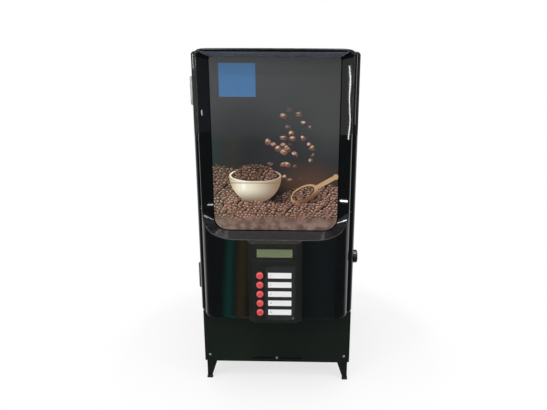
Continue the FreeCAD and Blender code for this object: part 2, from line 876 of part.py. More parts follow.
def lock_barrel():
    """Body of the lock, with its round head outside the door's right side."""
    y = y_joint - lock_set_back
    head = rod((half, y, lock_z), (1, 0, 0), lock_head_radius, lock_head_proud)
    rim = [e for e in head.Edges
           if e.BoundBox.XMin > half + lock_head_proud - 0.01 and e.BoundBox.XLength < 0.01]
    head = head.makeFillet(2.5, rim)
    body = rod((half - lock_body_length, y, lock_z), (1, 0, 0), lock_body_radius, lock_body_length)
    barrel = head.fuse(body).removeSplitter()
    bore = rod((half - lock_body_length - 1, y, lock_z), (1, 0, 0), lock_plug_radius + lock_play,
               lock_body_length + lock_head_proud + 2)
    return barrel.cut(bore)


def lock_nut():
    """Nut that clamps the lock to the inside of the door."""
    y = y_joint - lock_set_back
    x = half - door_wall - lock_nut_thick
    points = []
    for corner in range(6):
        angle = math.radians(60.0 * corner + 30.0)
        points.append((x, y + lock_nut_radius * math.cos(angle), lock_z + lock_nut_radius * math.sin(angle)))
    nut = flat_prism(points, (lock_nut_thick, 0, 0))
    return nut.cut(rod((x - 1, y, lock_z), (1, 0, 0), lock_body_radius + lock_play, lock_nut_thick + 2))


def lock_plug():
    """Turning plug of the lock with its key slot, and the cam on its inner end."""
    y = y_joint - lock_set_back
    tail = half - lock_body_length - 0.3
    plug = rod((tail, y, lock_z), (1, 0, 0), lock_plug_radius,
               lock_body_length + 0.3 + lock_head_proud - lock_plug_recess)
    face = half + lock_head_proud - lock_plug_recess
    slot = block(face - 5, face + 1, y - 0.8, y + 0.8, lock_z - 3.8, lock_z + 3.8)
    w = cam_width / 2.0
    arm = block(tail - cam_thick, tail, y - w, y + w, lock_z, lock_z + cam_length - w)
    arm = arm.fuse([
        rod((tail - cam_thick, y, lock_z), (1, 0, 0), w, cam_thick),
        rod((tail - cam_thick, y, lock_z + cam_length - w), (1, 0, 0), w, cam_thick),
        rod((tail - cam_thick - 3.0, y, lock_z), (1, 0, 0), 4.0, 3.0),
    ])
    return plug.cut(slot).fuse(arm).removeSplitter()


def lock_keeper():
    """Catch on the cabinet's frame; its tab stands in front of the cam when the lock is turned."""
    y = y_joint - lock_set_back
    tail = half - lock_body_length - 0.3
    x_arm = tail - cam_thick - 6.0
    tip = lock_z - cam_length
    y_tab = y - cam_width / 2.0 - keeper_gap
    low = tip - 4.0
    high = tip + 9.0
    y_back = -cabinet_front + sheet
    arm = block(x_arm - 2.0, x_arm, y_tab - 2.0, y_back + 2.0, low, high)
    tab = block(x_arm - 2.0, tail, y_tab - 2.0, y_tab, low, high)
    foot = block(x_arm - 2.0, half - frame_flange + 10.0, y_back, y_back + 2.0, low, high)
    return arm.fuse([tab, foot]).removeSplitter()


def canister_centres():
    """Middle of each canister across the cabinet."""
    return [(index - (canister_count - 1) / 2.0) * canister_pitch for index in range(canister_count)]


def hopper_section(inset, x, y):
    """Outline of a canister: straight walls that run in to a round trough."""
    w = canister_width / 2.0 - inset
    r = trough_radius + canister_wall - inset
    axis = auger_axis()
    top = shelf_z + canister_height - (0.0 if inset == 0 else -1.0)
    slope = axis + trough_slope_rise
    return Part.Wire([
        line((x - w, y, top), (x - w, y, slope)),
        line((x - w, y, slope), (x - r, y, axis)),
        arc((x - r, y, axis), (x, y, axis - r), (x + r, y, axis)),
        line((x + r, y, axis), (x + w, y, slope)),
        line((x + w, y, slope), (x + w, y, top)),
        line((x + w, y, top), (x - w, y, top)),
    ])


def auger_axis():
    """Height of the auger shafts."""
    return shelf_z + sheet + trough_radius + canister_wall


def flap_hinge_y():
    """Depth of the axis on which the filling flaps turn."""
    return -canister_front + flap_length


def canister(x):
    """Powder canister: open trough hopper with a fixed rear cover, outlet ring and flap ears."""
    y0 = -canister_front
    outer = Part.Face(hopper_section(0.0, x, y0)).extrude(Vector(0, canister_depth, 0))
    inner = Part.Face(hopper_section(canister_wall, x, y0 + canister_wall))
    body = outer.cut(inner.extrude(Vector(0, canister_depth - 2 * canister_wall, 0)))
    top = shelf_z + canister_height
    w = canister_width / 2.0
    cover = block(x - w, x + w, flap_hinge_y() + 4.0, y0 + canister_depth, top - canister_wall, top)
    foot = block(x - 14, x + 14, y0 + 10, y0 + canister_depth - 10, shelf_z + sheet, shelf_z + sheet + 1.0)
    axis = auger_axis()
    outlet = rod((x, y0 - 8.0, axis), (0, 1, 0), chute_radius - 2 * canister_wall, 8.5)
    ears = []
    for side in (-1, 1):
        xs = sorted((x + side * (w - canister_wall), x + side * (w - 2 * canister_wall - 1.0)))
        ears.append(block(xs[0], xs[1], flap_hinge_y() - 4.0, flap_hinge_y() + 4.0, top - 10.0, top + 3.5))
    body = body.fuse([cover, foot, outlet] + ears).removeSplitter()
    tools = [
        rod((x, y0 - 9.0, axis), (0, 1, 0), chute_radius - 3 * canister_wall, canister_wall + 10.0),
        rod((x, y0 + canister_depth - canister_wall - 1, axis), (0, 1, 0), auger_shaft_radius + auger_play,
            canister_wall + 2),
        rod((x - w, flap_hinge_y(), top + flap_thick / 2.0), (1, 0, 0), flap_pin_radius + auger_play,
            canister_width),
    ]
    return cut_all(body, tools)


def canister_flap(x):
    """Filling flap over the front of a canister, on two stub pins."""
    top = shelf_z + canister_height
    w = canister_width / 2.0 - 0.5
    y0 = -canister_front - 1.0
    ear = 2 * canister_wall + 1.6
    plate = block(x - w, x + w, y0, flap_hinge_y() - 4.6, top + 0.3, top + 0.3 + flap_thick)
    tongue = block(x - w + ear, x + w - ear, flap_hinge_y() - 4.7, flap_hinge_y(), top + 0.3,
                   top + 0.3 + flap_thick)
    grip = block(x - 12, x + 12, y0 - 5.0, y0 + 0.1, top + 0.3, top + 0.3 + flap_thick)
    pin = rod((x - canister_width / 2.0 + canister_wall, flap_hinge_y(), top + flap_thick / 2.0), (1, 0, 0),
              flap_pin_radius, canister_width - 2 * canister_wall)
    return plate.fuse([tongue, grip, pin]).removeSplitter()


def auger(x):
    """Powder screw: a shaft with tilted blades one after another round it."""
    y0 = -canister_front + canister_wall + 2.0
    y1 = -canister_front + canister_depth - canister_wall - 2.0
    axis = auger_axis()
    solid = rod((x, y0, axis), (0, 1, 0), auger_shaft_radius, y1 - y0 + canister_wall + auger_shaft_end)
    blade_count = int((y1 - y0 - 2 * auger_blade_start) / auger_blade_pitch)
    step = (y1 - y0 - 2 * auger_blade_start) / blade_count
    sweep = rod((x, y0, axis), (0, 1, 0), auger_radius, y1 - y0)
    blades = []
    for index in range(blade_count):
        blade = block(-7.0, 7.0, -auger_blade_thick / 2.0, auger_blade_thick / 2.0, 2.0, auger_radius + 3.0)
        blade.rotate(Vector(0, 0, 0), Vector(0, 0, 1), 28.0)
        blade.rotate(Vector(0, 0, 0), Vector(0, 1, 0), auger_blade_turn * index)
        blade.translate(Vector(x, y0 + auger_blade_start + step * (index + 0.5), axis))
        blades.append(blade.common(sweep))
    return solid.fuse(blades).removeSplitter()


def chutes():
    """Elbow on each canister outlet that turns the powder down into the bowl."""
    solids = []
    axis = auger_axis()
    for x in canister_centres():
        y = -canister_front - 8.0
        r = chute_radius - canister_wall * 2 + 0.05
        shell = rod((x, y - 2 * r, axis), (0, 1, 0), r + chute_wall, 2 * r + 7.0)
        shell = shell.fuse(rod((x, y - r, axis - chute_drop), (0, 0, 1), r + chute_wall, chute_drop))
        room = rod((x, y - 2 * r + chute_wall, axis), (0, 1, 0), r, 2 * r + 10.0)
        room = room.fuse(rod((x, y - r, axis - chute_drop - 1), (0, 0, 1), r, chute_drop + 1))
        solids.append(shell.cut(room))
    return Part.makeCompound(solids)


def canister_shelf():
    """Shelf under the canisters, with an upstand behind them for the gear motors."""
    inner = half - sheet
    y_up = -canister_front + canister_depth + 2.0
    plate = block(-inner, inner, -canister_front + 6.0, y_up + sheet, shelf_z, shelf_z + sheet)
    upstand = block(-inner, inner, y_up, y_up + sheet, shelf_z, shelf_z + motor_upstand_height)
    lips = [block(x0, x0 + sheet, -canister_front + 6.0, y_up, shelf_z - shelf_lip, shelf_z)
            for x0 in (-inner, inner - sheet)]
    shelf = plate.fuse([upstand] + lips).removeSplitter()
    holes = [rod((x, y_up - 1, auger_axis()), (0, 1, 0), auger_shaft_radius + 3.0, sheet + 2)
             for x in canister_centres()]
    return cut_all(shelf, holes)


def auger_motors():
    """Gear motor behind the upstand for each auger, with a socket that drives its shaft."""
    solids = []
    y0 = -canister_front + canister_depth + 2.0 + sheet
    axis = auger_axis()
    s = gear_box_size / 2.0
    for x in canister_centres():
        gear_box = block(x - s, x + s, y0, y0 + gear_box_depth, axis - 16.0, axis + gear_box_size - 16.0)
        motor = rod((x, y0 + gear_box_depth - 0.5, axis + 8.0), (0, 1, 0), gear_motor_radius,
                    gear_motor_length)
        bore = rod((x, y0 - 1, axis), (0, 1, 0), auger_shaft_radius + auger_play, 6.0)
        solids.append(gear_box.fuse(motor).removeSplitter().cut(bore))
    return Part.makeCompound(solids)


def bulkhead_y():
    """Depth of the front face of the bulkhead behind the bowls."""
    return -cabinet_front + bulkhead_set_back


def bulkhead():
    """Upright plate under the shelf that carries the bowls, whipper motors and dispensing head."""
    inner = half - sheet
    y = bulkhead_y()
    plate = block(-inner, inner, y, y + sheet, deck_height, shelf_z)
    foot = block(-inner, inner, y, y + bulkhead_foot, deck_height, deck_height + sheet)
    body = plate.fuse(foot).removeSplitter()
    tools = []
    for x0, x1 in ((-inner - 1, -inner + sheet + 0.5), (inner - sheet - 0.5, inner + 1)):
        tools.append(block(x0, x1, y - 1, y + sheet + 1, shelf_z - shelf_lip - 0.5, shelf_z + 1))
    for x in canister_centres():
        tools.append(rod((x, y - 1, bowl_axis_z), (0, 1, 0), whipper_shaft_radius + 4.0, sheet + 2))
        tools.append(rod((x, y - 1, water_entry_z()), (0, 1, 0), hose_radius + 1.5, sheet + 2))
    return cut_all(body, tools)


def bowl_front_y():
    """Depth of the front face of the bowls."""
    return bulkhead_y() - bowl_depth - 4.0


def water_entry_z():
    """Height at which the water hoses enter the bowls' funnels."""
    return bowl_funnel_top - 14.0


def bowl_funnel(x, inset, extra):
    """Slanted funnel from the whipping chamber up to the mouth in front of the bulkhead."""
    y_neck = (bowl_front_y() + bulkhead_y()) / 2.0
    y_mouth = bulkhead_y() - bowl_funnel_radius - bowl_play
    z_neck = bowl_axis_z + bowl_radius - 4.0
    neck = Part.Wire(Part.makeCircle(bowl_neck_radius - inset, Vector(x, y_neck, z_neck)))
    mouth = Part.Wire(Part.makeCircle(bowl_funnel_radius - inset,
                                      Vector(x, y_mouth, bowl_funnel_top + extra)))
    return Part.makeLoft([neck, mouth], True, True)


def mixing_bowls():
    """Funnel over a round whipping chamber for each canister, with a spout and a seat on the bulkhead."""
    solids = []
    y0 = bowl_front_y()
    y1 = bulkhead_y()
    for x in canister_centres():
        chamber = rod((x, y0, bowl_axis_z), (0, 1, 0), bowl_radius, y1 - y0)
        cone = bowl_funnel(x, 0.0, 0.0)
        spout = rod((x, y0 + bowl_spout_radius + 2.0, bowl_axis_z - bowl_radius - bowl_spout_length),
                    (0, 0, 1), bowl_spout_radius, bowl_spout_length + 6.0)
        entry = rod((x, y1 - 14.0, water_entry_z()), (0, 1, 0), hose_radius, 14.0)
        body = chamber.fuse([cone, spout, entry])
        w = bowl_wall
        room = rod((x, y0 + w, bowl_axis_z), (0, 1, 0), bowl_radius - w, y1 - y0 - 2 * w)
        cone_room = bowl_funnel(x, w, 0.02)
        throat = rod((x, (y0 + y1) / 2.0, bowl_axis_z + 10.0), (0, 0, 1), bowl_neck_radius - w, 12.0)
        drain = rod((x, y0 + bowl_spout_radius + 2.0,
                     bowl_axis_z - bowl_radius - bowl_spout_length - 1), (0, 0, 1),
                    bowl_spout_radius - bowl_spout_wall, bowl_spout_length + 8.0)
        shaft = rod((x, y1 - w - 1, bowl_axis_z), (0, 1, 0), whipper_shaft_radius + whipper_play, w + 2)
        water = rod((x, y1 - 24.0, water_entry_z()), (0, 1, 0), hose_radius - hose_wall, 25.0)
        solids.append(cut_all(body, [room, cone_room, throat, drain, shaft, water]))
    return Part.makeCompound(solids)


def whipper(x):
    """Whipping wheel in a bowl, on its shaft."""
    y0 = bowl_front_y() + bowl_wall + 4.0
    disc = rod((x, y0, bowl_axis_z), (0, 1, 0), whipper_radius, 2.0)
    hub = rod((x, y0, bowl_axis_z), (0, 1, 0), whipper_hub_radius, whipper_hub_length)
    shaft = rod((x, y0, bowl_axis_z), (0, 1, 0), whipper_shaft_radius, bulkhead_y() - y0 + sheet + 5.0)
    vanes = []
    for index in range(whipper_vanes):
        vane = block(-vane_thick / 2.0, vane_thick / 2.0, 0.0, vane_depth,
                     whipper_hub_radius - 2.0, whipper_radius - 1.0)
        vane.rotate(Vector(0, 0, 0), Vector(0, 1, 0), 360.0 / whipper_vanes * index)
        vane.translate(Vector(x, y0, bowl_axis_z))
        vanes.append(vane)
    return disc.fuse([hub, shaft] + vanes).removeSplitter()


def whipper_motors():
    """Motor behind the bulkhead for each whipper."""
    solids = []
    y = bulkhead_y() + sheet
    for x in canister_centres():
        plate = block(x - whip_plate_half, x + whip_plate_half, y, y + 2.0,
                      bowl_axis_z - whip_plate_half, bowl_axis_z + whip_plate_half)
        can = rod((x, y, bowl_axis_z), (0, 1, 0), whip_motor_radius, whip_motor_length)
        rim = [e for e in can.Edges
               if e.BoundBox.YMin > y + whip_motor_length - 0.01 and e.BoundBox.YLength < 0.01]
        can = can.makeFillet(3.0, rim)
        bore = rod((x, y - 1, bowl_axis_z), (0, 1, 0), whipper_shaft_radius + whipper_play, 8.0)
        solids.append(plate.fuse(can).removeSplitter().cut(bore))
    return Part.makeCompound(solids)


def nozzle_centres():
    """Middle of each outlet tube across the dispensing head."""
    return [(index - (canister_count - 1) / 2.0) * nozzle_pitch for index in range(canister_count)]


def nozzle_block():
    """Dispensing head behind the control housing: three outlets over the cup, one per bowl."""
    y0 = -nozzle_y - nozzle_depth / 2.0
    y1 = y0 + nozzle_depth
    body = block(-nozzle_half, nozzle_half, y0, y1, nozzle_bottom, nozzle_top)
    body = body.makeFillet(3.0, upright_edges(body, y1 + 1.0))
    tools = []
    tips = []
    for x in nozzle_centres():
        tips.append(rod((x, -nozzle_y, nozzle_bottom - nozzle_tip), (0, 0, 1), hose_radius + 1.5,
                        nozzle_tip + 1.0))
        tools.append(rod((x, -nozzle_y, nozzle_bottom - nozzle_tip - 1), (0, 0, 1), hose_radius - hose_wall,
                         nozzle_top - nozzle_bottom + nozzle_tip + 2))
        tools.append(rod((x, -nozzle_y, nozzle_top - 6.0), (0, 0, 1), hose_radius, 7.0))
    return cut_all(body.fuse(tips).removeSplitter(), tools)


def nozzle_bracket():
    """Bent bracket from the bulkhead that holds the dispensing head."""
    y0 = -nozzle_y + nozzle_depth / 2.0
    y1 = bulkhead_y()
    w = bracket_width / 2.0
    t = bracket_sheet
    arm = block(-w, w, y0, y1, nozzle_top - t, nozzle_top)
    face = block(-w, w, y0, y0 + t, nozzle_bottom + t, nozzle_top)
    foot = block(-w, w, y1 - t, y1, nozzle_top - t, nozzle_top + bracket_rib_height + t)
    ribs = [flat_prism([(x, y1 - t, nozzle_top), (x, y1 - t, nozzle_top + bracket_rib_height),
                        (x, y1 - t - bracket_rib_reach, nozzle_top)],
                       (1.6, 0, 0)) for x in (-w, w - 1.6)]
    return arm.fuse([face, foot] + ribs).removeSplitter()


def product_hoses():
    """Soft hoses from the bowls' spouts down to the dispensing head."""
    solids = []
    y_spout = bowl_front_y() + bowl_spout_radius + 2.0
    z_spout = bowl_axis_z - bowl_radius - bowl_spout_length
    for x, x_end in zip(canister_centres(), nozzle_centres()):
        route = [
            (x, y_spout, z_spout + bowl_spout_length - 1.0),
            (x, y_spout, z_spout - 12.0),
            (x + (x_end - x) * 0.35, y_spout - 16.0, z_spout - 30.0),
            (x_end, -nozzle_y + 10.0, nozzle_top + 26.0),
            (x_end, -nozzle_y, nozzle_top + 10.0),
            (x_end, -nozzle_y, nozzle_top - 6.0),
        ]
        outer = bent_tube(route, hose_radius, 0)
        sleeve = rod((x, y_spout, z_spout), (0, 0, 1), bowl_spout_radius, bowl_spout_length)
        bore = bent_tube(route, hose_radius - hose_wall, 0)
        solids.append(cut_all(outer, [sleeve, bore]))
    return solids


def boiler_box(inset):
    """Rounded block of the boiler, inset by its wall for the hollow."""
    z0 = deck_height + boiler_foot
    body = block(-boiler_left + inset, -boiler_left + boiler_width - inset, boiler_front + inset,
                 boiler_front + boiler_depth - inset, z0 + inset, z0 + boiler_height - inset)
    return body.makeFillet(boiler_corner - inset, upright_edges(body, boiler_front + boiler_depth + 1.0))


def heater_place():
    """Depth and height of the heater's flange on the boiler's right side."""
    return (boiler_front + boiler_depth * 0.68, deck_height + boiler_foot + boiler_height * 0.4)


def boiler_inlet_place():
    """Depth and height of the water nipple on the boiler's right side."""
    return (pump_y, deck_height + boiler_foot + 34.0)


def valve_places():
    """Middle of each valve on the boiler's lid."""
    middle = -boiler_left + boiler_width / 2.0
    return [(middle + (index - (canister_count - 1) / 2.0) * valve_pitch,
             boiler_front + valve_body / 2.0 + 6.0)
            for index in range(canister_count)]


def boiler_tank():
    """Hollow steel boiler on four feet, with openings for the heater, probe, inlet and valves."""
    body = boiler_box(0.0).cut(boiler_box(boiler_wall))
    feet = []
    for x in (-boiler_left + 22.0, -boiler_left + boiler_width - 22.0):
        for y in (boiler_front + 18.0, boiler_front + boiler_depth - 18.0):
            feet.append(rod((x, y, deck_height), (0, 0, 1), 7.0, boiler_foot + 0.5))
    right = -boiler_left + boiler_width
    y_in, z_in = boiler_inlet_place()
    nipple = rod((right - 0.5, y_in, z_in), (1, 0, 0), feed_hose_radius, 8.5)
    body = body.fuse(feet + [nipple]).removeSplitter()
    y_heat, z_heat = heater_place()
    z_top = deck_height + boiler_foot + boiler_height
    tools = [
        rod((right - 3, y_in, z_in), (1, 0, 0), feed_hose_radius - hose_wall, 14.0),
        rod((right - 3, y_heat, z_heat), (1, 0, 0), heater_loop / 2.0 + heater_radius + 1.0, 6.0),
        rod((-boiler_left + probe_inset, boiler_front + boiler_depth - probe_inset, z_top - 3),
            (0, 0, 1), probe_radius + 0.3, 6.0),
    ]
    for x, y in valve_places():
        tools.append(rod((x, y, z_top - 3), (0, 0, 1), hose_radius, 6.0))
    return cut_all(body, tools)


def heater_element():
    """Heating loop inside the boiler on its outside flange, with two terminals."""
    right = -boiler_left + boiler_width
    y, z = heater_place()
    flange = rod((right, y, z), (1, 0, 0), heater_flange_radius, 4.0)
    parts = [flange]
    for side in (-1, 1):
        ys = y + side * heater_loop / 2.0
        parts.append(rod((right - heater_reach, ys, z), (1, 0, 0), heater_radius, heater_reach + 1.0))
        parts.append(block(right + 3.5, right + 12.0, ys - 3.0, ys + 3.0, z - 0.5, z + 0.5))
    bend = Part.makeTorus(heater_loop / 2.0, heater_radius, Vector(right - heater_reach, y, z),
                          Vector(0, 0, 1))
    bend = bend.common(block(right - heater_reach - heater_loop, right - heater_reach, y - heater_loop,
                             y + heater_loop, z - 8, z + 8))
    parts.append(bend)
    return joined(parts)


def level_probe():
    """Probe rod through the boiler's lid, with a hexagonal head and a terminal."""
    x = -boiler_left + probe_inset
    y = boiler_front + boiler_depth - probe_inset
    z = deck_height + boiler_foot + boiler_height
    points = []
    for corner in range(6):
        angle = math.radians(60.0 * corner)
        points.append((x + probe_head_radius * math.cos(angle), y + probe_head_radius * math.sin(angle), z))
    head = flat_prism(points, (0, 0, 7.0))
    rod_down = rod((x, y, z - probe_reach), (0, 0, 1), probe_radius, probe_reach + 20.0)
    return head.fuse(rod_down).removeSplitter()


def water_valves():
    """Solenoid valve on the boiler's lid for each bowl."""
    solids = []
    z = deck_height + boiler_foot + boiler_height
    s = valve_body / 2.0
    for x, y in valve_places():
        body = block(x - s, x + s, y - s, y + s, z, z + valve_height)
        coil = rod((x, y, z + valve_height - 0.5), (0, 0, 1), valve_coil_radius, valve_coil_height)
        cap = rod((x, y, z + valve_height + valve_coil_height - 1.0), (0, 0, 1), 5.0, 6.0)
        spout = rod((x, y - s - valve_spout, z + valve_height / 2.0), (0, 1, 0), hose_radius,
                    valve_spout + 1.0)
        bore = rod((x, y - s - valve_spout - 1, z + valve_height / 2.0), (0, 1, 0), hose_radius - hose_wall,
                   valve_spout + s)
        drop = rod((x, y, z - 1), (0, 0, 1), hose_radius - hose_wall, valve_height / 2.0 + 1.0)
        solids.append(cut_all(body.fuse([coil, cap, spout]).removeSplitter(), [bore, drop]))
    return Part.makeCompound(solids)


def water_hoses():
    """Hoses from the valves through the bulkhead to the bowls."""
    solids = []
    z0 = deck_height + boiler_foot + boiler_height + valve_height / 2.0
    for (xv, yv), x in zip(valve_places(), canister_centres()):
        y_start = yv - valve_body / 2.0 - valve_spout
        route = [
            (xv, y_start, z0),
            (xv, y_start - valve_hose_lead, z0),
            (x, bulkhead_y() + 36.0, water_entry_z()),
            (x, bulkhead_y(), water_entry_z()),
        ]
        solids.append(bent_tube(route, hose_radius, hose_radius - hose_wall))
    return solids


def pump_axis_z():
    """Height of the pump's axis over the base pan."""
    return leg_height + sheet + pump_body_radius + pump_lift


def water_pump():
    """Water pump on a saddle in the base, with an inlet at the back and an outlet on top."""
    z = pump_axis_z()
    x0 = pump_x - pump_head / 2.0
    floor = leg_height + sheet
    head = block(x0, x0 + pump_head, pump_y - 22.0, pump_y + 22.0, z - 20.0, z + 20.0)
    motor = rod((x0 + pump_head - 0.5, pump_y, z), (1, 0, 0), pump_body_radius,
                pump_length - pump_head / 2.0)
    saddle = block(x0 + 4, x0 + pump_head + 30.0, pump_y - 18.0, pump_y + 18.0, floor, z - 14.0)
    base = block(x0 - 4, x0 + pump_head + 34.0, pump_y - 26.0, pump_y + 26.0, floor, floor + 2.0)
    nipple_in = rod((pump_x, pump_y + 21.5, z), (0, 1, 0), feed_hose_radius, 8.5)
    nipple_out = rod((pump_x, pump_y, z + 19.5), (0, 0, 1), feed_hose_radius, 6.5)
    body = head.fuse([motor, saddle, base, nipple_in, nipple_out]).removeSplitter()
    r = feed_hose_radius - hose_wall
    bores = [
        rod((pump_x, pump_y + 6.0, z), (0, 1, 0), r, 26.0),
        rod((pump_x, pump_y, z + 6.0), (0, 0, 1), r, 22.0),
    ]
    return cut_all(body, bores)


def feed_hoses():
    """Hoses of the cold water: inlet to pump, and pump up to the boiler."""
    z = pump_axis_z()
    r = feed_hose_radius
    y_start = pump_y + 30.0
    y_end = y_rear_inner - 10.0
    span = y_end - y_start
    low = bent_tube([
        (pump_x, y_start, z), (pump_x, y_start + span * 0.3, z),
        (inlet_x, y_start + span * 0.65, inlet_z), (inlet_x, y_end, inlet_z),
    ], r, r - hose_wall)
    y_in, z_in = boiler_inlet_place()
    right = -boiler_left + boiler_width + 8.0
    high = bent_tube([(pump_x, pump_y, z + 26.0), (pump_x, pump_y, z_in), (right, y_in, z_in)], r,
                     r - hose_wall)
    return [low, high]


def water_inlet():
    """Threaded water connection through the rear panel, with its nut and inside nipple."""
    hexagon = []
    for corner in range(6):
        angle = math.radians(60.0 * corner)
        hexagon.append((inlet_x + 13.0 * math.cos(angle), cabinet_rear, inlet_z + 13.0 * math.sin(angle)))
    nut = flat_prism(hexagon, (0, 5.0, 0))
    body = rod((inlet_x, y_rear_inner, inlet_z), (0, 1, 0), inlet_radius - 2.05, sheet + 1.0)
    thread = rod((inlet_x, cabinet_rear, inlet_z), (0, 1, 0), inlet_radius, inlet_reach)
    collar = rod((inlet_x, y_rear_inner - 3.0, inlet_z), (0, 1, 0), inlet_radius + 2.0, 3.0)
    nipple = rod((inlet_x, y_rear_inner - 10.0, inlet_z), (0, 1, 0), feed_hose_radius, 8.0)
    grooves = []
    for turn in range(5):
        y = cabinet_rear + 7.0 + turn * 1.8
        grooves.append(tube((inlet_x, y, inlet_z), (0, 1, 0), inlet_radius + 1.0, inlet_radius - 0.6, 0.8))
    bore = rod((inlet_x, y_rear_inner - 11.0, inlet_z), (0, 1, 0), inlet_bore - hose_wall,
               inlet_reach + 20.0)
    wide = rod((inlet_x, cabinet_rear + 2.0, inlet_z), (0, 1, 0), inlet_bore + 1.0, inlet_reach)
    return cut_all(nut.fuse([body, thread, collar, nipple]).removeSplitter(), grooves + [bore, wide])


def transformer():
    """Power transformer on the base pan: winding in a laminated frame on two feet."""
    z0 = leg_height + sheet
    w = transformer_width / 2.0
    d = transformer_depth / 2.0
    x, y = transformer_x, transformer_y
    core = block(x - w, x + w, y - d * 0.55, y + d * 0.55, z0 + 3.0, z0 + transformer_height)
    coil = block(x - w * 0.6, x + w * 0.6, y - d, y + d, z0 + 12.0, z0 + transformer_height - 10.0)
    feet = block(x - w - 12.0, x + w + 12.0, y - d * 0.55, y + d * 0.55, z0, z0 + 3.0)
    return core.fuse([coil, feet]).removeSplitter()


def main_board():
    """Main circuit board on standoffs on the right wall, with relays, capacitors and sockets."""
    x_wall = half - sheet
    x_face = x_wall - standoff_length
    y0 = board_y - board_length
    z0 = board_z - board_height
    board = block(x_face - board_thick, x_face, y0, board_y, z0, board_z)
    pieces = []
    for y in (y0 + 6.0, board_y - 6.0):
        for z in (z0 + 6.0, board_z - 6.0):
            pieces.append(rod((x_face - board_thick, y, z), (1, 0, 0), 3.0, standoff_length + board_thick))
    front = x_face - board_thick
    for index in range(4):
        y = y0 + 16.0 + index * 22.0
        pieces.append(block(front - 14.0, front + 0.5, y, y + 15.0, z0 + 10.0, z0 + 30.0))
    for index in range(3):
        pieces.append(rod((front + 0.5, y0 + 112.0, z0 + 20.0 + index * 22.0), (-1, 0, 0), 7.0, 20.5))
    pieces.append(block(front - 3.0, front + 0.5, y0 + 40.0, y0 + 62.0, z0 + 48.0, z0 + 70.0))
    for index in range(3):
        z = z0 + 82.0
        y = y0 + 14.0 + index * 32.0
        pieces.append(block(front - 9.0, front + 0.5, y, y + 24.0, z, z + 12.0))
    return board.fuse(pieces)


def fan_frame():
    """Square frame of the exhaust fan, with a hub plate on four arms."""
    s = fan_size / 2.0
    y1 = y_rear_inner
    y0 = y1 - fan_depth
    frame = block(fan_x - s, fan_x + s, y0, y1, fan_z - s, fan_z + s)
    bore = s - 3.0
    frame = frame.cut(rod((fan_x, y0 - 1, fan_z), (0, 1, 0), bore, fan_depth + 2))
    arms = [rod((fan_x, y0, fan_z), (0, 1, 0), fan_hub_radius, 3.0)]
    for turn in range(4):
        arm = block(-2.0, 2.0, 0.0, 3.0, 4.0, bore + 1.0)
        arm.rotate(Vector(0, 0, 0), Vector(0, 1, 0), 90.0 * turn + 45.0)
        arm.translate(Vector(fan_x, y0, fan_z))
        arms.append(arm)
    arms.append(rod((fan_x, y0 + 2.0, fan_z), (0, 1, 0), fan_pin_radius, 12.0))
    return frame.fuse(arms).removeSplitter()


def fan_rotor():
    """Bladed wheel of the exhaust fan, on the frame's pin."""
    y1 = y_rear_inner
    y0 = y1 - fan_depth + 3.0 + 0.4
    depth = fan_depth - 3.0 - 3.0
    hub = rod((fan_x, y0, fan_z), (0, 1, 0), fan_hub_radius, depth)
    tip = fan_size / 2.0 - 3.0 - fan_play
    sweep = rod((fan_x, y0, fan_z), (0, 1, 0), tip, depth)
    blades = []
    for index in range(fan_blades):
        blade = block(-1.0, 1.0, -10.0, 10.0, fan_hub_radius - 2.0, tip + 2.0)
        blade.rotate(Vector(0, 0, 0), Vector(0, 0, 1), 48.0)
        blade.rotate(Vector(0, 0, 0), Vector(0, 1, 0), 360.0 / fan_blades * index)
        blade.translate(Vector(fan_x, y0 + depth / 2.0, fan_z))
        blades.append(blade.common(sweep))
    bore = rod((fan_x, y0 - 1, fan_z), (0, 1, 0), fan_pin_radius + auger_play, 12.5)
    return hub.fuse(blades).removeSplitter().cut(bore)


def panel_fitting(x, z, width, height, depth):
    """Body of a fitting that fills its panel hole, with a flange on the outside."""
    w = width / 2.0
    h = height / 2.0
    body = block(x - w + 0.05, x + w - 0.05, y_rear_inner - depth, cabinet_rear, z - h + 0.05, z + h - 0.05)
    flange = block(x - w - flange_margin, x + w + flange_margin, cabinet_rear, cabinet_rear + flange_thick,
                   z - h - flange_margin, z + h + flange_margin)
    return body.fuse(flange).removeSplitter()


def mains_socket():
    """Mains inlet with three flat pins in its recess."""
    body = panel_fitting(socket_x, socket_z, socket_width, socket_height, socket_depth)
    w = socket_width / 2.0 - 1.5
    h = socket_height / 2.0 - 1.5
    y1 = cabinet_rear + flange_thick + 1
    y0 = y_rear_inner - socket_depth + 2.0
    c = 4.0
    room = flat_prism([
        (socket_x - w, y0, socket_z - h), (socket_x + w, y0, socket_z - h), (socket_x + w, y0,
                                                                             socket_z + h - c),
        (socket_x + w - c, y0, socket_z + h), (socket_x - w + c, y0, socket_z + h),
        (socket_x - w, y0, socket_z + h - c),
    ], (0, y1 - y0, 0))
    pins = []
    for dx, dz in ((-7.0, -1.5), (7.0, -1.5), (0.0, 2.5)):
        pins.append(block(socket_x + dx - 1.0, socket_x + dx + 1.0, y0 - 6.0, cabinet_rear - pin_set_back,
                          socket_z + dz - 2.0, socket_z + dz + 2.0))
    return body.cut(room).fuse(pins).removeSplitter()


def switch_frame():
    """Frame of the mains switch."""
    body = panel_fitting(rocker_x, rocker_z, rocker_width, rocker_height, rocker_depth)
    w = rocker_width / 2.0 - 1.2
    h = rocker_height / 2.0 - 1.2
    room = block(rocker_x - w, rocker_x + w, y_rear_inner - rocker_depth + 2.0,
                 cabinet_rear + flange_thick + 1,
                 rocker_z - h, rocker_z + h)
    pin = rod((rocker_x - w - 0.8, cabinet_rear, rocker_z), (1, 0, 0), 1.0 + auger_play, 2 * w + 1.6)
    return cut_all(body, [room, pin])


